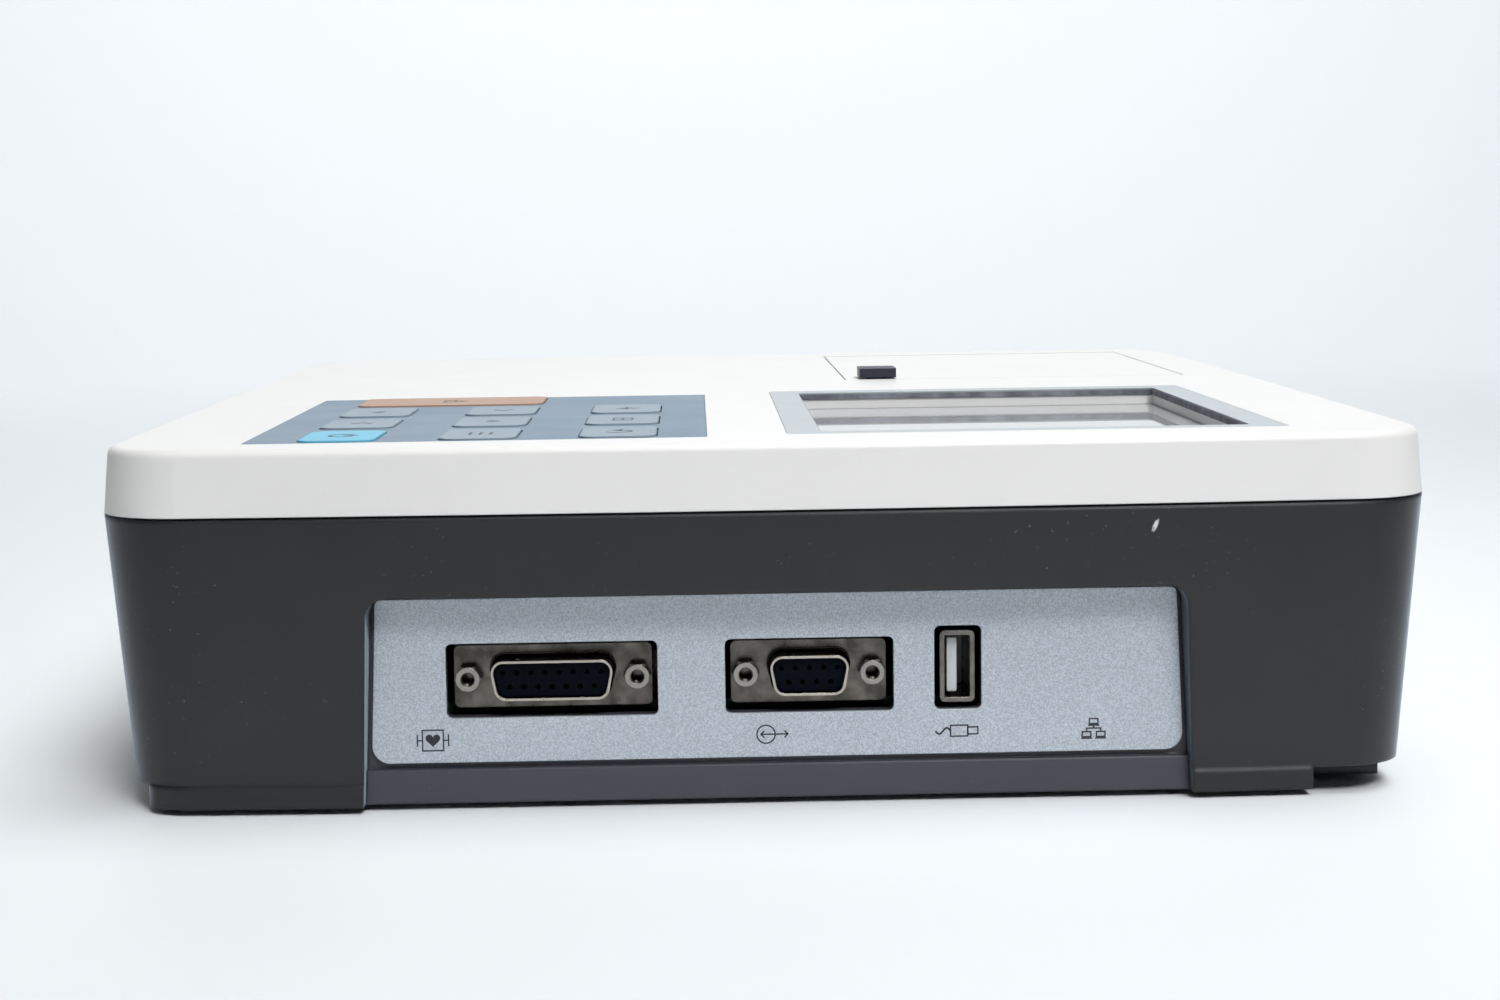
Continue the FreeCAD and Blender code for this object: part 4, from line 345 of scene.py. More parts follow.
@dataclass(frozen=True)
class PlatedMetal(Finish):
    """Plated, drawn or extruded metal: brushed along one axis and slightly tarnished."""

    colour: Colour
    roughness: float = 0.28
    along: Point = (1, 1, 8)
    tarnish: float = 0.25
    tarnish_size: float = 0.004
    scratch_size: float = 0.0006
    scratch_depth: float = 0.000006
    edge: float = 0.00015
    # Where set, colour nearer than this Y level is brightened as a painted highlight on the front rims
    highlight_y: float | None = None
    highlight_fade: float = 0.0002
    highlight_gain: float = 3.2

    def draw(self, graph: Graph) -> None:
        """Stretched noise scratches the surface, and clouds of tarnish darken and dull it.

        Nearer than the highlight's Y level, the colour is brightened by the highlight gain: a painted
        highlight on the front rims.

        Args:
            graph: the tree to fill.
        """
        clouds = graph.noise(self.tarnish_size, 4.0)
        colour = graph.steps(clouds, [(0.35, shaded(self.colour, 1 - self.tarnish)), (0.65, self.colour)])
        # Painted highlight: the front rims are brightened
        if self.highlight_y is not None:
            along = graph.add("ShaderNodeSeparateXYZ", {"Vector": graph.place}).outputs["Y"]
            near = {"Value": along, "From Min": self.highlight_y, "From Max": self.highlight_y + self.highlight_fade}
            inside = graph.add("ShaderNodeMapRange", near).outputs["Result"]
            colour = graph.mix(inside, shaded(self.colour, self.highlight_gain), colour)
        rough = graph.level(clouds, self.roughness + 0.1, self.roughness - 0.05)
        scratches = graph.noise(self.scratch_size, 2.0, self.along)
        normal = graph.bump(scratches, self.scratch_depth, graph.soft_edges(self.edge))
        graph.shade(Base_Color=colour, Metallic=1.0, Roughness=rough, Normal=normal)


@dataclass(frozen=True)
class ClearGlass(Finish):
    """A display window with a hazy, faintly smeared hard coat."""

    tint: Colour
    clear: float = 0.3
    smear_size: float = 0.03
    smear_haze: float = 0.012

    def draw(self, graph: Graph) -> None:
        """Smears vary the gloss a little.

        Args:
            graph: the tree to fill.
        """
        rough = graph.level(graph.noise(self.smear_size), 0.0, self.smear_haze)
        graph.shade(Base_Color=self.tint, Roughness=rough, Transmission_Weight=self.clear, IOR=1.5)


@dataclass(frozen=True)
class DisplayCell(Finish):
    """A switched-off liquid crystal cell with its grid of picture dots."""

    colour: Colour
    pitch: float = 0.00036

    def draw(self, graph: Graph) -> None:
        """Two crossed waves draw the gaps between dots.

        Args:
            graph: the tree to fill.
        """
        lines = []
        for axis in ("X", "Y"):
            wave = graph.add("ShaderNodeTexWave", {"Vector": graph.place, "Scale": WAVE_LENGTH / self.pitch})
            wave.bands_direction = axis
            lines.append(wave.outputs["Fac"])
        gaps = graph.add("ShaderNodeMath", {0: lines[0], 1: lines[1]})
        gaps.operation = "MULTIPLY"
        colour = graph.steps(gaps.outputs["Value"], [(0.05, shaded(self.colour, 0.8)), (0.4, self.colour)])
        graph.shade(Base_Color=colour, Roughness=graph.level(graph.noise(0.05, 2.0), 0.22, 0.3))


@dataclass(frozen=True)
class SolderMask(Finish):
    """A circuit board: lacquer over copper tracks that run mostly one way."""

    colour: Colour
    stretch: Point = (1, 0.16, 1)
    tracks_per_metre: float = 420.0
    track_height: float = 0.00003

    def draw(self, graph: Graph) -> None:
        """Stretched cells stand for tracks, which lift the lacquer and show paler.

        Args:
            graph: the tree to fill.
        """
        mapped = graph.add("ShaderNodeMapping", {"Vector": graph.place, "Scale": self.stretch})
        spacing = {"Vector": mapped.outputs["Vector"], "Scale": self.tracks_per_metre}
        cells = graph.add("ShaderNodeTexVoronoi", spacing)
        cells.distance = "CHEBYCHEV"
        tracks = cells.outputs["Distance"]
        colour = graph.steps(tracks, [(0.25, shaded(self.colour, 1.7)), (0.33, self.colour)])
        graph.shade(Base_Color=colour, Roughness=0.32, Normal=graph.bump(tracks, self.track_height, None))


@dataclass(frozen=True)
class SoftRubber(Finish):
    """Moulded rubber: dull, with a dusty bloom."""

    colour: Colour
    bloom_size: float = 0.004
    pebble_size: float = 0.0003
    pebble_height: float = 0.00002
    edge: float = 0.0004

    def draw(self, graph: Graph) -> None:
        """Bloom greys the colour in patches over a fine pebble.

        Args:
            graph: the tree to fill.
        """
        bloom = graph.noise(self.bloom_size, 4.0)
        colour = graph.steps(bloom, [(0.4, self.colour), (0.75, shaded(self.colour, 2.4))])
        pebble = graph.noise(self.pebble_size, 2.0)
        normal = graph.bump(pebble, self.pebble_height, graph.soft_edges(self.edge))
        graph.shade(Base_Color=colour, Roughness=graph.level(bloom, 0.62, 0.78), Normal=normal)


@dataclass(frozen=True)
class ChartPaper(Finish):
    """Coated recording paper with a pale millimetre grid and the fine edges of its wound layers."""

    colour: Colour
    line: Colour
    grid: float = 0.001
    layer_size: float = 0.0004
    layer_stretch: Point = (0.05, 1, 1)
    layer_height: float = 0.00002

    def draw(self, graph: Graph) -> None:
        """A wave draws the millimetre lines, and stretched noise the wound layers.

        Args:
            graph: the tree to fill.
        """
        wave = graph.add("ShaderNodeTexWave", {"Vector": graph.place, "Scale": WAVE_LENGTH / self.grid})
        wave.bands_direction = "X"
        colour = graph.steps(wave.outputs["Fac"], [(0.06, self.line), (0.14, self.colour)])
        layers = graph.noise(self.layer_size, 2.0, self.layer_stretch)
        rough = graph.level(layers, 0.55, 0.65)
        graph.shade(Base_Color=colour, Roughness=rough, Normal=graph.bump(layers, self.layer_height, None))


@dataclass(frozen=True)
class PrintedInk(Finish):
    """Screen-printed ink with slightly uneven cover."""

    colour: Colour
    speckle: float = 0.0002

    def draw(self, graph: Graph) -> None:
        """Fine noise thins the ink here and there.

        Args:
            graph: the tree to fill.
        """
        cover = graph.noise(self.speckle, 2.0)
        colour = graph.steps(cover, [(0.35, self.colour), (0.8, shaded(self.colour, 1.8))])
        graph.shade(Base_Color=colour, Roughness=graph.level(cover, 0.4, 0.55))


WHITE_MOULDING = MouldedPlastic(
    "white_moulding", (0.82, 0.812, 0.80), 0.38, clouds=0.012, grain_depth=0.000006, edge=0.0005
)
DARK_MOULDING = MouldedPlastic(
    "dark_moulding",
    (0.0105, 0.0110, 0.0132),
    0.38,
    clouds=0.05,
    dust=0.16,
    scuff=(0.0744, -0.1468, 0.0548),
    edge=0.0012,
    sheen=0.6,
)
# The socket plate wears a lighter grey than the housing's plastic: painted light that its sill catches
PLATE_PAINTED_LIGHT_MOULDING = MouldedPlastic("plate_painted_light", (0.050, 0.053, 0.068), 0.38, dust=0.1, edge=0.0008)
BLACK_MOULDING = MouldedPlastic("black_moulding", (0.012, 0.013, 0.017), 0.36)
INSULATOR_MOULDING = MouldedPlastic("insulator_moulding", (0.0014, 0.0024, 0.0068), 0.5, gloss=0.06)
GREY_MOULDING = MouldedPlastic("grey_moulding", (0.17, 0.175, 0.18), 0.5)
PALE_MOULDING = MouldedPlastic("pale_moulding", (0.60, 0.62, 0.64), 0.4)
NYLON = MouldedPlastic("natural_nylon", (0.74, 0.72, 0.64), 0.45)
LATCH_MOULDING = MouldedPlastic("latch_moulding", (0.020, 0.025, 0.042), 0.4, edge=0.0003)
SILVER_FILM = GrainedFilm(
    "silver_film", (0.52, 0.565, 0.625), metallic=0.5, roughness=0.38, grain=0.0003, contrast=0.2, gloss=0.5
)
MEMBRANE_FILM = GrainedFilm("membrane_film", (0.13, 0.21, 0.30), roughness=0.4, contrast=0.06)
KEY_LOOK = {"roughness": 0.42, "contrast": 0.05, "edge": 0.0010}
GREY_KEY_FILM = GrainedFilm("grey_key_film", (0.25, 0.33, 0.40), **KEY_LOOK)
BLUE_KEY_FILM = GrainedFilm("blue_key_film", (0.13, 0.51, 0.72), **KEY_LOOK)
ORANGE_KEY_FILM = GrainedFilm("orange_key_film", (0.45, 0.27, 0.175), **KEY_LOOK)
BEZEL_FILM = GrainedFilm("bezel_film", (0.45, 0.495, 0.52), roughness=0.36, contrast=0.04)
# Nickel is given a darker base colour than the steel, partly painted shade for the recesses it sits in; the
# D-sub shells and jackscrews are painted darker than the USB shell
NICKEL = PlatedMetal("nickel_plate", (0.21, 0.197, 0.18), 0.22, edge=0.0003)
# The socket shells' and jackscrews' front rims carry a painted highlight
SHELL_NICKEL = PlatedMetal(
    "shell_nickel", (0.16, 0.147, 0.130), 0.22, tarnish=0.5, edge=0.0002, highlight_y=-0.1421
)
JACK_NICKEL = PlatedMetal(
    "jack_nickel", (0.15, 0.141, 0.129), 0.22, edge=0.0002, highlight_y=-0.1398, highlight_gain=2.3
)
STEEL = PlatedMetal("plain_steel", (0.56, 0.57, 0.58), 0.3, along=(8, 1, 1))
TIN = PlatedMetal("tin_plate", (0.66, 0.67, 0.68), 0.35)
ALLOY = PlatedMetal("extruded_alloy", (0.68, 0.69, 0.70), 0.38, along=(1, 8, 8))
# Near-black metal for the contacts: painted shade for the holes and slots they sit deep in
CONTACT_SHADE_METAL = PlatedMetal("contact_painted_shade", (0.012, 0.010, 0.008), 0.4)
WINDOW_GLASS = ClearGlass("window_glass", (0.66, 0.69, 0.71))
DISPLAY_CELL = DisplayCell("display_cell", (0.34, 0.37, 0.38))
BOARD = SolderMask("board_lacquer", (0.005, 0.034, 0.017))
RUBBER = SoftRubber("foot_rubber", (0.018, 0.018, 0.019))
# A grey band lining the display well's upper wall: painted shade under the bezel's edge
WELL_SHADE_BAND = SoftRubber("well_painted_shade", (0.12, 0.125, 0.145))
PAPER = ChartPaper("chart_paper", (0.86, 0.82, 0.80), (0.82, 0.52, 0.50))
WRAP = MouldedPlastic("shrink_wrap", (0.03, 0.10, 0.25), 0.22, grain=0.004, grain_depth=0.00005)
CERAMIC = MouldedPlastic("ground_ceramic", (0.72, 0.70, 0.63), 0.3)
DARK_INK = PrintedInk("dark_ink", (0.014, 0.016, 0.022))
KEY_INK = PrintedInk("key_ink", (0.045, 0.060, 0.085))


@dataclass(frozen=True)
class Face:
    """A flat face that marks are laid on, with its own right and up; its normal is right crossed with up."""

    origin: Point
    right: Point
    up: Point

    def lift(self, flat: np.ndarray, height: np.ndarray | float) -> np.ndarray:
        """Carries flat points into space.

        Args:
            flat: points across and up the face, in metres, of shape (..., 2).
            height: how far each stands out of the face.

        Returns:
            Points of shape (..., 3).
        """
        normal = np.cross(self.right, self.up)
        across = flat[..., :1] * np.array(self.right)
        upward = flat[..., 1:2] * np.array(self.up)
        return np.array(self.origin) + across + upward + np.asarray(height)[..., None] * normal


def add_object(name: str, data: bpy.types.ID) -> bpy.types.Object:
    """Puts a new object into the scene.

    Args:
        name: its name.
        data: its mesh, light or camera.

    Returns:
        The object.
    """
    made = bpy.data.objects.new(name, data)
    bpy.context.scene.collection.objects.link(made)
    return made


@dataclass
class MeshDraft:
    """Points and faces that are gathered into one piece."""

    points: list[np.ndarray] = field(default_factory=list)
    faces: list[np.ndarray] = field(default_factory=list)
    count: int = 0

    def add(self, points: np.ndarray, *faces: np.ndarray) -> None:
        """Adds one closed form.

        Args:
            points: its points, of shape (n, 3).
            *faces: blocks of its faces, as rows of point numbers counted from its own first point.
        """
        self.points.append(points)
        self.faces.extend(block + self.count for block in faces)
        self.count += len(points)

    def piece(self, name: str, finish: Finish, body: str) -> None:
        """Makes the piece and lets it ride on a body.

        Args:
            name: the piece's name.
            finish: what it wears.
            body: the body it moves with.
        """
        mesh = bpy.data.meshes.new(name)
        rows = [row for block in self.faces for row in block.tolist()]
        mesh.from_pydata(np.concatenate(self.points).tolist(), [], rows)
        mesh.update()
        mesh.materials.append(finish.material())
        made = add_object(name, mesh)
        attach(made, body)
        LOG.info("%s: %d faces on %s", name, len(mesh.polygons), body)


def loft_faces(rings: int, sides: int, closed: bool) -> np.ndarray:
    """Quads that join each ring of points to the next.

    Args:
        rings: how many rings there are, one after another in the list of points.
        sides: how many points each ring has.
        closed: whether the last ring joins the first.

    Returns:
        Rows of four point numbers.
    """
    first = np.arange(rings if closed else rings - 1)[:, None] * sides
    after = (first + sides) % (rings * sides)
    side = np.arange(sides)[None, :]
    ahead = (side + 1) % sides
    return np.stack([first + side, after + side, after + ahead, first + ahead], axis=-1).reshape(-1, 4)


# Ink stands out of its face and reaches into it, so that no two faces coincide
INK_HEIGHT = 0.00004
INK_DEPTH = 0.00002
SLAB = (-INK_DEPTH, -INK_DEPTH, INK_HEIGHT, INK_HEIGHT)
# A corner sharper than this is widened no further
LEAST_COSINE = 0.35
# How small the caps of a patch are beside its outline
CAP_SHARE = 0.02


def stroke(draft: MeshDraft, face: Face, path: np.ndarray, width: float) -> None:
    """Lays an inked line: a flat rectangular section carried along a path, square at its ends.

    At each point the section lies across the mean of the two runs that meet there, and is widened by
    one over the cosine of half their turn, so both edges stay parallel to the runs.

    Args:
        draft: what the line is added to.
        face: the face that it is printed on.
        path: points across and up the face, of shape (n, 2); one that ends where it starts is closed.
        width: the line's width in metres.
    """
    closed = bool(np.allclose(path[0], path[-1]))
    path = path[:-1] if closed else path
    runs = np.roll(path, -1, axis=0) - path
    runs /= np.linalg.norm(runs, axis=1, keepdims=True)
    before = np.roll(runs, 1, axis=0)
    if not closed:
        before[0], runs[-1] = runs[0], before[-1]
    mean = before + runs
    mean /= np.linalg.norm(mean, axis=1, keepdims=True)
    widen = 1 / np.maximum(np.sum(mean * runs, axis=1, keepdims=True), LEAST_COSINE)
    aside = np.stack([-mean[:, 1], mean[:, 0]], axis=1) * widen * width / 2
    corners = np.stack([path + aside, path - aside, path - aside, path + aside], axis=1)
    points = face.lift(corners, np.broadcast_to(SLAB, corners.shape[:2])).reshape(-1, 3)
    quads = loft_faces(len(path), len(SLAB), closed)
    if not closed:
        section = np.arange(len(SLAB))
        quads = np.concatenate([quads, [section, len(points) - 1 - section]])
    draft.add(points, quads)


def patch(draft: MeshDraft, face: Face, outline: np.ndarray) -> None:
    """Lays an inked patch: rings of the outline shrink to small caps on both faces of a thin slab.

    Args:
        draft: what the patch is added to.
        face: the face that it is printed on.
        outline: points across and up the face, of shape (n, 2), counter-clockwise round their middle.
    """
    middle = outline.mean(axis=0)
    shrink = np.array([CAP_SHARE, 1.0, 1.0, CAP_SHARE])[:, None, None]
    rings = middle + (outline - middle)[None] * shrink
    heights = np.array(SLAB)[:, None]
    points = face.lift(rings, np.broadcast_to(heights, rings.shape[:2])).reshape(-1, 3)
    count = len(outline)
    quads = loft_faces(len(SLAB), count, False)[:, ::-1]
    caps = np.stack([np.arange(count)[::-1], np.arange(count) + (len(SLAB) - 1) * count])
    draft.add(points, quads, caps)


def arc(middle: tuple[float, float], radius: float, start: float, end: float, count: int = 33) -> np.ndarray:
    """Points along a circle.

    Args:
        middle: the circle's middle.
        radius: its radius.
        start: the first point's angle in degrees.
        end: the last point's angle in degrees.
        count: how many points.

    Returns:
        Points of shape (count, 2).
    """
    angles = np.radians(np.linspace(start, end, count))
    points = np.stack([np.cos(angles), np.sin(angles)], axis=1) * radius + np.array(middle)
    if abs(end - start) == 360:
        points[-1] = points[0]
    return points


def box_path(middle: tuple[float, float], width: float, height: float) -> np.ndarray:
    """A closed rectangle, counter-clockwise.

    Args:
        middle: its middle.
        width: its width.
        height: its height.

    Returns:
        Five points, of which the last is the first again.
    """
    corners = np.array([(-1, -1), (1, -1), (1, 1), (-1, 1), (-1, -1)])
    return corners * np.array([width, height]) / 2 + np.array(middle)


def heart(middle: tuple[float, float], width: float) -> np.ndarray:
    """A heart: the sine cubed across, and a sum of four cosines up.

    Args:
        middle: its middle.
        width: its width.

    Returns:
        Forty points, counter-clockwise.
    """
    turn = np.linspace(0, 2 * math.pi, 40, endpoint=False)
    across = 16 * np.sin(turn) ** 3
    up = 13 * np.cos(turn) - 5 * np.cos(2 * turn) - 2 * np.cos(3 * turn) - np.cos(4 * turn)
    return np.stack([across, up], axis=1)[::-1] * width / 32 + np.array(middle)


class KeyMark(Enum):
    """The plain signs on the keys."""

    POWER = "power"
    RETURN = "return"
    UP = "up"
    DOWN = "down"
    LEFT = "left"
    RIGHT = "right"
    LIST = "list"
    FRAME = "frame"
    WAVE = "wave"
    FEED = "feed"


def key_mark_paths(mark: KeyMark, size: float) -> list[np.ndarray]:
    """The lines of a key's sign, drawn in a square round the origin.

    Args:
        mark: which sign.
        size: the square's side in metres.

    Returns:
        One path for each line.
    """
    half = size / 2
    arrow = np.array([(-0.5, 0.0), (0.0, 0.55), (0.5, 0.0)]) * size * 0.8 - np.array([0, 0.2 * size])
    turns = {KeyMark.UP: 0, KeyMark.LEFT: 90, KeyMark.DOWN: 180, KeyMark.RIGHT: 270}
    if mark in turns:
        angle = math.radians(turns[mark])
        spin = np.array([(math.cos(angle), math.sin(angle)), (-math.sin(angle), math.cos(angle))])
        return [arrow @ spin]
    beat = [(-1, 0), (-0.5, 0), (-0.3, 0.25), (-0.1, -0.25), (0.1, 0.9), (0.3, -0.6), (0.45, 0), (1, 0)]
    hook = [(-1.5, 0.2), (-0.95, -0.4), (-0.4, 0.2)]
    peak = [(-0.5, 0.5), (0, 1.1), (0.5, 0.5)]
    rows = [[(-1, row), (1, row)] for row in (-0.8, 0, 0.8)]
    drawn = {
        KeyMark.POWER: [arc((0, 0), half, 125, 415), np.array([(0, 0.1), (0, 1.2)]) * half],
        KeyMark.RETURN: [arc((0, 0), half, -60, 200), np.array(hook) * half],
        KeyMark.LIST: [np.array(row) * half for row in rows],
        KeyMark.FRAME: [box_path((0, 0), 2 * half, 1.5 * half), np.array([(-0.5, 0), (0.5, 0)]) * half],
        KeyMark.WAVE: [np.array(beat) * half],
        KeyMark.FEED: [box_path((0, -0.3 * half), 1.8 * half, half), np.array(peak) * half],
    }
    return drawn[mark]


Wear = tuple[tuple[Finish, tuple[str, ...]], ...]


@dataclass
class Assembly:
    """A sub-assembly: the finish that each of its solids wears, and the pieces added to it."""

    wear: Wear

    def build(self) -> None:
        """Adds the sub-assembly's own pieces, where it has any."""

    def dress(self) -> None:
        """Gives the solids their finishes and reports each one."""
        for finish, names in self.wear:
            for name in names:
                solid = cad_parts[name]
                if not solid.data.materials:
                    solid.data.materials.append(None)
                for place in solid.material_slots:
                    place.material = finish.material()
                LOG.info("%s wears %s", name, finish.name)


@dataclass
class Shell(Assembly):
    """The white cover and the dark housing with its feet, inlet and battery cover."""

    wear: Wear = (
        (WHITE_MOULDING, ("top_cover", "paper_door")),
        (DARK_MOULDING, ("bottom_housing", "battery_cover")),
        (PLATE_PAINTED_LIGHT_MOULDING, ("socket_plate",)),
        (RUBBER, ("rubber_feet",)),
        (BLACK_MOULDING, ("mains_inlet",)),
        (NICKEL, ("inlet_pins",)),
        (STEEL, ("housing_screws", "battery_cover_screws")),
    )


@dataclass
class SignPanel(Assembly):
    """The silver panel of the socket side with its printed signs, measured in metres."""

    wear: Wear = ((SILVER_FILM, ("interface_panel",)),)
    line: float = 0.00028
    sign_height: float = 0.0137
    square: float = 0.0041
    heart_width: float = 0.0029
    heart_rise: float = 0.0001
    paddle_reach: float = 0.001
    paddle_half: float = 0.0012
    ring: float = 0.0018
    arrow_start: float = 0.00099
    arrow_end: float = 0.0043
    arrow_tip: float = 0.0007
    # The shift, width and height of each box of the plug
    plug_body: tuple[float, float, float] = (0.0002, 0.0034, 0.0022)
    plug_nose: tuple[float, float, float] = (0.0029, 0.0020, 0.0014)
    tail_start: float = 0.0015
    tail_length: float = 0.003
    tail_sway: float = 0.0006
    tail_line: float = 0.000364
    screen_width: float = 0.0017
    screen_height: float = 0.0010
    screen_foot: float = 0.0022
    foot_drop: float = 0.0008
    network_half: float = 0.0014
    upper_rise: float = 0.0014
    lower_drop: float = 0.0012
    upper_joint: float = 0.0006
    lower_joint: float = 0.0007
    patient_sign: float = -0.0664
    data_sign: float = -0.0010
    plug_sign: float = 0.0369
    network_sign: float = 0.0637

    def build(self) -> None:
        """Prints the four signs in one row, as one piece."""
        low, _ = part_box("interface_panel")
        face = Face((0.0, low[1], self.sign_height), (1, 0, 0), (0, 0, 1))
        draft = MeshDraft()
        for path in self.patient_paths() + self.data_paths() + self.plug_paths() + self.network_paths():
            stroke(draft, face, path, self.line)
        patch(draft, face, heart((self.patient_sign, self.heart_rise), self.heart_width))
        stroke(draft, face, self.plug_tail(), self.tail_line)
        draft.piece("panel_signs", DARK_INK, "base")

    def patient_paths(self) -> list[np.ndarray]:
        """The square round the heart, and two paddles: a lead input that stands a defibrillator.

        Returns:
            One path for each line.
        """
        x = self.patient_sign
        paths = [box_path((x, 0), self.square, self.square)]
        for sign in (-1, 1):
            edge = x + sign * self.square / 2
            end = edge + sign * self.paddle_reach
            paths.append(np.array([(edge, 0), (end, 0)]))
            paths.append(np.array([(end, -self.paddle_half), (end, self.paddle_half)]))
        return paths

    def data_paths(self) -> list[np.ndarray]:
        """A ring with an arrow in and out of it: a data line.

        Returns:
            One path for each line.
        """
        x, tip = self.data_sign, self.arrow_tip
        ends = (x - self.arrow_start, x + self.arrow_end)
        paths = [arc((x, 0), self.ring, 0, 360), np.array([(end, 0) for end in ends])]
        for end, sign in zip(ends, (1, -1)):
            paths.append(np.array([(end + sign * tip, tip), (end, 0), (end + sign * tip, -tip)]))
        return paths

    def plug_paths(self) -> list[np.ndarray]:
        """A flat plug: the body and its narrower nose."""
        boxes = (self.plug_body, self.plug_nose)
        return [box_path((self.plug_sign + shift, 0), width, height) for shift, width, height in boxes]

    def plug_tail(self) -> np.ndarray:
        """The plug's cable: one wave of a sine along a level line.

        Returns:
            Points of shape (17, 2).
        """
        share = np.linspace(0, 1, 17)
        across = self.plug_sign - self.tail_start - self.tail_length * share
        return np.stack([across, self.tail_sway * np.sin(2 * math.pi * share)], axis=1)

    def network_paths(self) -> list[np.ndarray]:
        """Three screens on feet and the lines that join them: a network.

        Returns:
            One path for each line.
        """
        x = self.network_sign
        left, right = x - self.network_half, x + self.network_half
        bus = [(left, -self.lower_joint), (left, 0), (right, 0), (right, -self.lower_joint)]
        paths = [np.array([(x, self.upper_joint), (x, 0)]), np.array(bus)]
        foot = np.array([(-0.5, 0), (0.5, 0)]) * self.screen_foot
        for middle, rise in ((x, self.upper_rise), (left, -self.lower_drop), (right, -self.lower_drop)):
            paths.append(box_path((middle, rise), self.screen_width, self.screen_height))
            paths.append(foot + np.array([middle, rise - self.foot_drop]))
        return paths


@dataclass
class Sockets(Assembly):
    """The sockets behind the panel's openings, measured in metres."""

    wear: Wear = (
        (NICKEL, ("usb_shell",)),
        (SHELL_NICKEL, ("patient_socket_shell", "serial_socket_shell")),
        (JACK_NICKEL, ("patient_jackscrews", "serial_jackscrews")),
        (INSULATOR_MOULDING, ("patient_socket_insulator", "serial_socket_insulator")),
        (PALE_MOULDING, ("usb_tongue",)),
    )
    wide_rows: tuple[tuple[str, int], ...] = (("patient", 8), ("serial", 5))
    contact_radius: float = 0.00052
    contact_bore: float = 0.0003
    contact_sunk: float = 0.0009
    contact_length: float = 0.0024
    contact_sides: int = 16
    contact_pitch: float = 0.00276
    row_gap: float = 0.00284
    usb_contacts: int = 4
    usb_contact_pitch: float = 0.0023
    usb_contact_width: float = 0.0011
    usb_contact_sunk: float = 0.0004
    usb_contact_length: float = 0.008
    usb_blade: float = 0.002475
    jack_flats: float = 0.0048
    jack_bore: float = 0.00142
    thread_pitch: float = 0.000635
    thread_turns: int = 7
    thread_steps: int = 20
    thread_root: float = 0.00003

    def build(self) -> None:
        """Adds the contacts of all three sockets and the threads of the jackscrews."""
        for name, wide_row in self.wide_rows:
            self.add_contacts(name, wide_row)
        self.add_usb_contacts()
        for name, _ in self.wide_rows:
            self.add_threads(name)

    def add_contacts(self, name: str, wide_row: int) -> None:
        """Lines each contact hole with a plated sleeve: a rectangular section turned about the hole's axis.

        Args:
            name: the socket's name.
            wide_row: how many contacts the upper row has.
        """
        low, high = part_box(f"{name}_socket_insulator")
        middle_x = (low[0] + high[0]) / 2
        middle_z = (low[2] + high[2]) / 2
        rows = [np.arange(count) - (count - 1) / 2 for count in (wide_row, wide_row - 1)]
        places_x = middle_x + np.concatenate(rows) * self.contact_pitch
        places_z = middle_z + np.repeat([0.5, -0.5], [len(row) for row in rows]) * self.row_gap
        turn = np.linspace(0, 2 * math.pi, self.contact_sides, endpoint=False)
        near, far = low[1] + self.contact_sunk, low[1] + self.contact_length
        bore, outside = self.contact_bore, self.contact_radius
        radius = np.array([bore, outside, outside, bore])[:, None]
        depth = np.array([near, near, far, far])[:, None]
        quads = loft_faces(len(radius), self.contact_sides, True)
        draft = MeshDraft()
        for x, z in zip(places_x, places_z):
            rings = np.broadcast_arrays(x + radius * np.cos(turn), depth, z + radius * np.sin(turn))
            draft.add(np.stack(rings, axis=-1).reshape(-1, 3), quads)
        # The sleeves are near-black: painted shade inside the holes
        draft.piece(f"{name}_contacts", CONTACT_SHADE_METAL, "base")

    def add_usb_contacts(self) -> None:
        """Lays flat contact strips along the tongue's face, side by side."""
        low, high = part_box("usb_tongue")
        start = (low[0] + self.usb_blade, low[1] + self.usb_contact_sunk, (low[2] + high[2]) / 2)
        face = Face(start, (0, 1, 0), (0, 0, 1))
        draft = MeshDraft()
        for i in range(self.usb_contacts):
            height = (i - (self.usb_contacts - 1) / 2) * self.usb_contact_pitch
            strip = np.array([(0.0, height), (self.usb_contact_length, height)])
            stroke(draft, face, strip, self.usb_contact_width)
        draft.piece("usb_contacts", CONTACT_SHADE_METAL, "base")

    def add_threads(self, name: str) -> None:
        """Threads a socket's two jackscrews: a V-shaped ridge carried along a helix in each bore.

        The ridge's two roots lie half a pitch apart just under the bore's wall, and its crest stands
        a third of a pitch inside it. The helix turns evenly while it goes in by one pitch a turn.

        Args:
            name: the socket's name.
        """
        low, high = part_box(f"{name}_jackscrews")
        corner = self.jack_flats / math.sqrt(3)
        steps = self.thread_steps * self.thread_turns + 1
        turn = np.linspace(0, 2 * math.pi * self.thread_turns, steps)[:, None]
        radius = self.jack_bore + np.array([self.thread_root, -self.thread_pitch / 3, self.thread_root])
        across = radius * np.cos(turn)
        upward = radius * np.sin(turn) + (low[2] + high[2]) / 2
        inward = low[1] + self.thread_pitch * (turn / (2 * math.pi) + np.array([0.25, 0.5, 0.75]))
        quads = loft_faces(steps, len(radius), False)
        ridge = np.arange(len(radius))
        ends = np.stack([ridge, steps * len(radius) - 1 - ridge])
        draft = MeshDraft()
        for middle_x in (low[0] + corner, high[0] - corner):
            points = np.stack([middle_x + across, inward, upward], axis=-1).reshape(-1, 3)
            draft.add(points, quads, ends)
        draft.piece(f"{name}_jack_threads", NICKEL, "base")


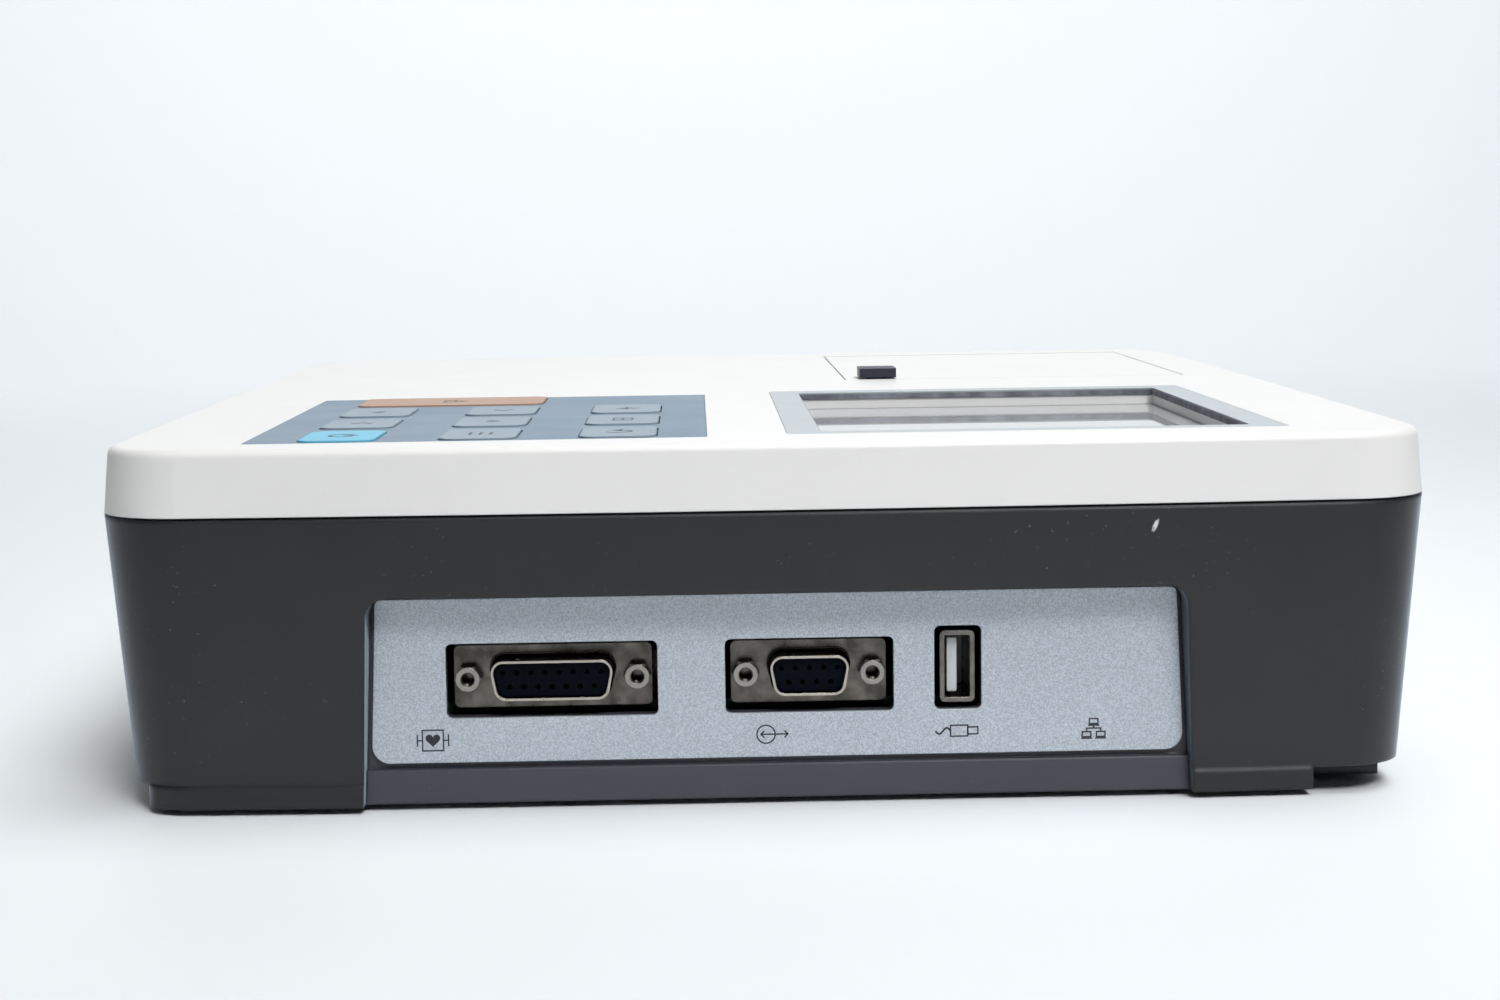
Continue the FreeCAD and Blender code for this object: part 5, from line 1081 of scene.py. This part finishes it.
@dataclass
class Keypad(Assembly):
    """The overlay, its keys and the signs printed on them, which face the operator on the -X side."""

    wear: Wear = (
        (MEMBRANE_FILM, ("keypad_overlay",)),
        (BLUE_KEY_FILM, ("blue_key",)),
        (ORANGE_KEY_FILM, ("start_key",)),
        (GREY_KEY_FILM, tuple(f"grey_key_{number}" for number in range(1, 9))),
    )
    line: float = 0.0006
    sign: float = 0.0052
    marks: dict[str, KeyMark] = field(
        default_factory=lambda: {
            "blue_key": KeyMark.POWER,
            "grey_key_1": KeyMark.LIST,
            "grey_key_2": KeyMark.RETURN,
            "grey_key_3": KeyMark.LEFT,
            "grey_key_4": KeyMark.UP,
            "grey_key_5": KeyMark.FRAME,
            "grey_key_6": KeyMark.DOWN,
            "grey_key_7": KeyMark.RIGHT,
            "grey_key_8": KeyMark.WAVE,
            "start_key": KeyMark.FEED,
        }
    )

    def build(self) -> None:
        """Prints one sign on every key."""
        for key, mark in self.marks.items():
            low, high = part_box(key)
            middle = ((low[0] + high[0]) / 2, (low[1] + high[1]) / 2, high[2])
            face = Face(middle, (0, -1, 0), (1, 0, 0))
            draft = MeshDraft()
            for path in key_mark_paths(mark, self.sign):
                stroke(draft, face, path, self.line)
            draft.piece(f"{key}_sign", KEY_INK, key)


@dataclass
class Display(Assembly):
    """The bezel, the sunken window with a grey band of painted shade round its well, and the cell under it.
    """

    wear: Wear = (
        (BEZEL_FILM, ("display_bezel",)),
        (WINDOW_GLASS, ("display_window",)),
        (DISPLAY_CELL, ("lcd_module",)),
    )
    side_margin: float = 0.0068
    near_margin: float = 0.0052
    far_margin: float = 0.0069
    corner: float = 0.0015
    corner_steps: int = 9
    bezel_thickness: float = 0.0004
    shade_band_height: float = 0.0013
    shade_band_thickness: float = 0.0003

    def build(self) -> None:
        """Adds a grey band of painted shade along the well's upper wall: a rectangular section carried round
        the well's rounded rectangle.

        Each corner's points lie on a quarter circle, and the section runs from the well's wall inwards.
        """
        low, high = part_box("display_bezel")
        well_low = np.array([low[0] + self.side_margin, low[1] + self.near_margin]) + self.corner
        well_high = np.array([high[0] - self.side_margin, high[1] - self.far_margin]) - self.corner
        turn = np.radians(np.linspace(0, 90, self.corner_steps) + 90 * np.arange(4)[:, None]).reshape(-1)
        middle_x = np.repeat([well_high[0], well_low[0], well_low[0], well_high[0]], self.corner_steps)
        middle_y = np.repeat([well_high[1], well_high[1], well_low[1], well_low[1]], self.corner_steps)
        inside = self.corner - self.shade_band_thickness
        radius = np.array([self.corner, self.corner, inside, inside])
        top = high[2] - self.bezel_thickness
        heights = np.array([top - self.shade_band_height, top, top, top - self.shade_band_height])
        across = middle_x[:, None] + radius * np.cos(turn)[:, None]
        along = middle_y[:, None] + radius * np.sin(turn)[:, None]
        points = np.stack([across, along, np.broadcast_to(heights, across.shape)], axis=-1)
        draft = MeshDraft()
        draft.add(points.reshape(-1, 3), loft_faces(len(turn), len(radius), True))
        draft.piece("display_well_shade", WELL_SHADE_BAND, "base")


@dataclass
class Printer(Assembly):
    """The strip printer's frame, drive, head and paper, with the door's hinge pin and latch."""

    wear: Wear = (
        (GREY_MOULDING, ("printer_frame", "paper_axle")),
        (STEEL, ("platen_shaft", "motor_shaft", "idler_pin", "door_hinge_pin")),
        (STEEL, ("tear_bar", "feed_motor", "printer_screws")),
        (RUBBER, ("platen_sleeve",)),
        (NYLON, ("platen_gear", "idler_gear", "motor_pinion")),
        (ALLOY, ("head_heat_sink",)),
        (CERAMIC, ("print_head",)),
        (PAPER, ("paper_roll",)),
        (LATCH_MOULDING, ("door_latch",)),
    )


@dataclass
class Electronics(Assembly):
    """The boards, their parts and the battery."""

    wear: Wear = (
        (BOARD, ("main_board", "power_board", "keypad_board")),
        (TIN, ("main_board_parts",)),
        (BLACK_MOULDING, ("power_parts", "key_switches")),
        (STEEL, ("board_screws", "keypad_screws")),
        (WRAP, ("battery_pack",)),
    )


@dataclass(frozen=True)
class SoftBox:
    """A rectangular studio light that looks at a point."""

    name: str
    place: Point
    target: Point
    width: float
    length: float
    power: float
    spread: float

    def build(self) -> None:
        """Adds the light, whose grid narrows it to its spread in degrees."""
        lamp = bpy.data.lights.new(self.name, "AREA")
        lamp.shape = "RECTANGLE"
        lamp.size = self.width
        lamp.size_y = self.length
        lamp.energy = self.power
        lamp.spread = math.radians(self.spread)
        made = add_object(self.name, lamp)
        made.location = self.place
        toward = np.array(self.target) - np.array(self.place)
        flat = math.hypot(toward[0], toward[1])
        made.rotation_euler = (math.atan2(flat, -toward[2]), 0.0, math.atan2(-toward[0], toward[1]))


@dataclass
class Studio:
    """A pale floor that sweeps up behind, soft lights and the photograph's camera."""

    camera_place: Point = (-0.01365, -0.6150, 0.11541)
    camera_turn: Point = (83.346, 0.8145, -1.324)
    focal_pixels: float = 2450.0
    image_width: float = 1500.0
    sensor_width: float = 36.0
    near_clip: float = 0.01
    sweep_reach: float = 5.0
    sweep_near: float = -3.0
    sweep_start: float = 1.2
    sweep_radius: float = 0.8
    sweep_top: float = 4.0
    sweep_drop: float = 0.0001
    sweep_steps: int = 17
    floor_colour: Colour = (0.855, 0.89, 0.915)
    sky_colour: Colour = (0.96, 0.98, 1.0)
    sky_strength: float = 0.06
    lights: tuple[SoftBox, ...] = (
        SoftBox("overhead", (0.3, -0.15, 1.25), (0.0, -0.1, 0.0), 1.1, 0.9, 2.45, 70.0),
        SoftBox("front", (0.4, -1.2, 1.3), (0.05, -0.05, 0.0), 0.8, 0.5, 1.35, 40.0),
        SoftBox("backdrop", (0.0, 0.7, 1.6), (0.0, 2.0, 0.5), 3.0, 1.0, 30.0, 150.0),
    )

    def build(self) -> None:
        """Adds the sweep, the lights, the sky and the camera."""
        self.add_sweep()
        for light in self.lights:
            light.build()
        world = bpy.data.worlds.new("soft_sky")
        bpy.context.scene.world = world
        world.use_nodes = True
        background = world.node_tree.nodes["Background"]
        background.inputs["Color"].default_value = (*self.sky_colour, 1.0)
        background.inputs["Strength"].default_value = self.sky_strength
        bpy.context.scene.view_settings.view_transform = "Standard"
        self.add_camera()

    def add_sweep(self) -> None:
        """The floor as one sheet: level, then a quarter circle, then upright, carried across X."""
        bend = np.radians(np.linspace(0, 90, self.sweep_steps))
        curve_y = self.sweep_start + self.sweep_radius * np.sin(bend)
        curve_z = self.sweep_radius * (1 - np.cos(bend))
        profile_y = np.concatenate([[self.sweep_near], curve_y, [self.sweep_start + self.sweep_radius]])
        profile_z = np.concatenate([[0.0], curve_z, [self.sweep_top]]) - self.sweep_drop
        count = len(profile_y)
        across = np.repeat([-self.sweep_reach, self.sweep_reach], count)
        points = np.stack([across, np.tile(profile_y, 2), np.tile(profile_z, 2)], axis=1)
        step = np.arange(count - 1)
        quads = np.stack([step, step + count, step + count + 1, step + 1], axis=1)
        mesh = bpy.data.meshes.new("studio_sweep")
        mesh.from_pydata(points.tolist(), [], quads.tolist())
        mesh.shade_smooth()
        graph = Graph("studio_paper")
        graph.shade(Base_Color=self.floor_colour, Roughness=graph.level(graph.noise(0.3, 2.0), 0.55, 0.65))
        mesh.materials.append(graph.material)
        sweep = add_object("studio_sweep", mesh)

    def add_camera(self) -> None:
        """The camera that the photograph's vanishing lines and socket spacings give."""
        lens = bpy.data.cameras.new("photo_camera")
        lens.sensor_width = self.sensor_width
        lens.lens = self.focal_pixels / self.image_width * self.sensor_width
        lens.clip_start = self.near_clip
        made = add_object("photo_camera", lens)
        made.location = self.camera_place
        made.rotation_euler = tuple(math.radians(angle) for angle in self.camera_turn)
        bpy.context.scene.camera = made


def main() -> None:
    """Builds and dresses the sub-assemblies in order, then the studio."""
    logging.basicConfig(level=logging.INFO, format="%(message)s")
    for assembly in (Shell(), SignPanel(), Sockets(), Keypad(), Display(), Printer(), Electronics()):
        assembly.build()
        assembly.dress()
    Studio().build()


if __name__ == "__main__":
    main()
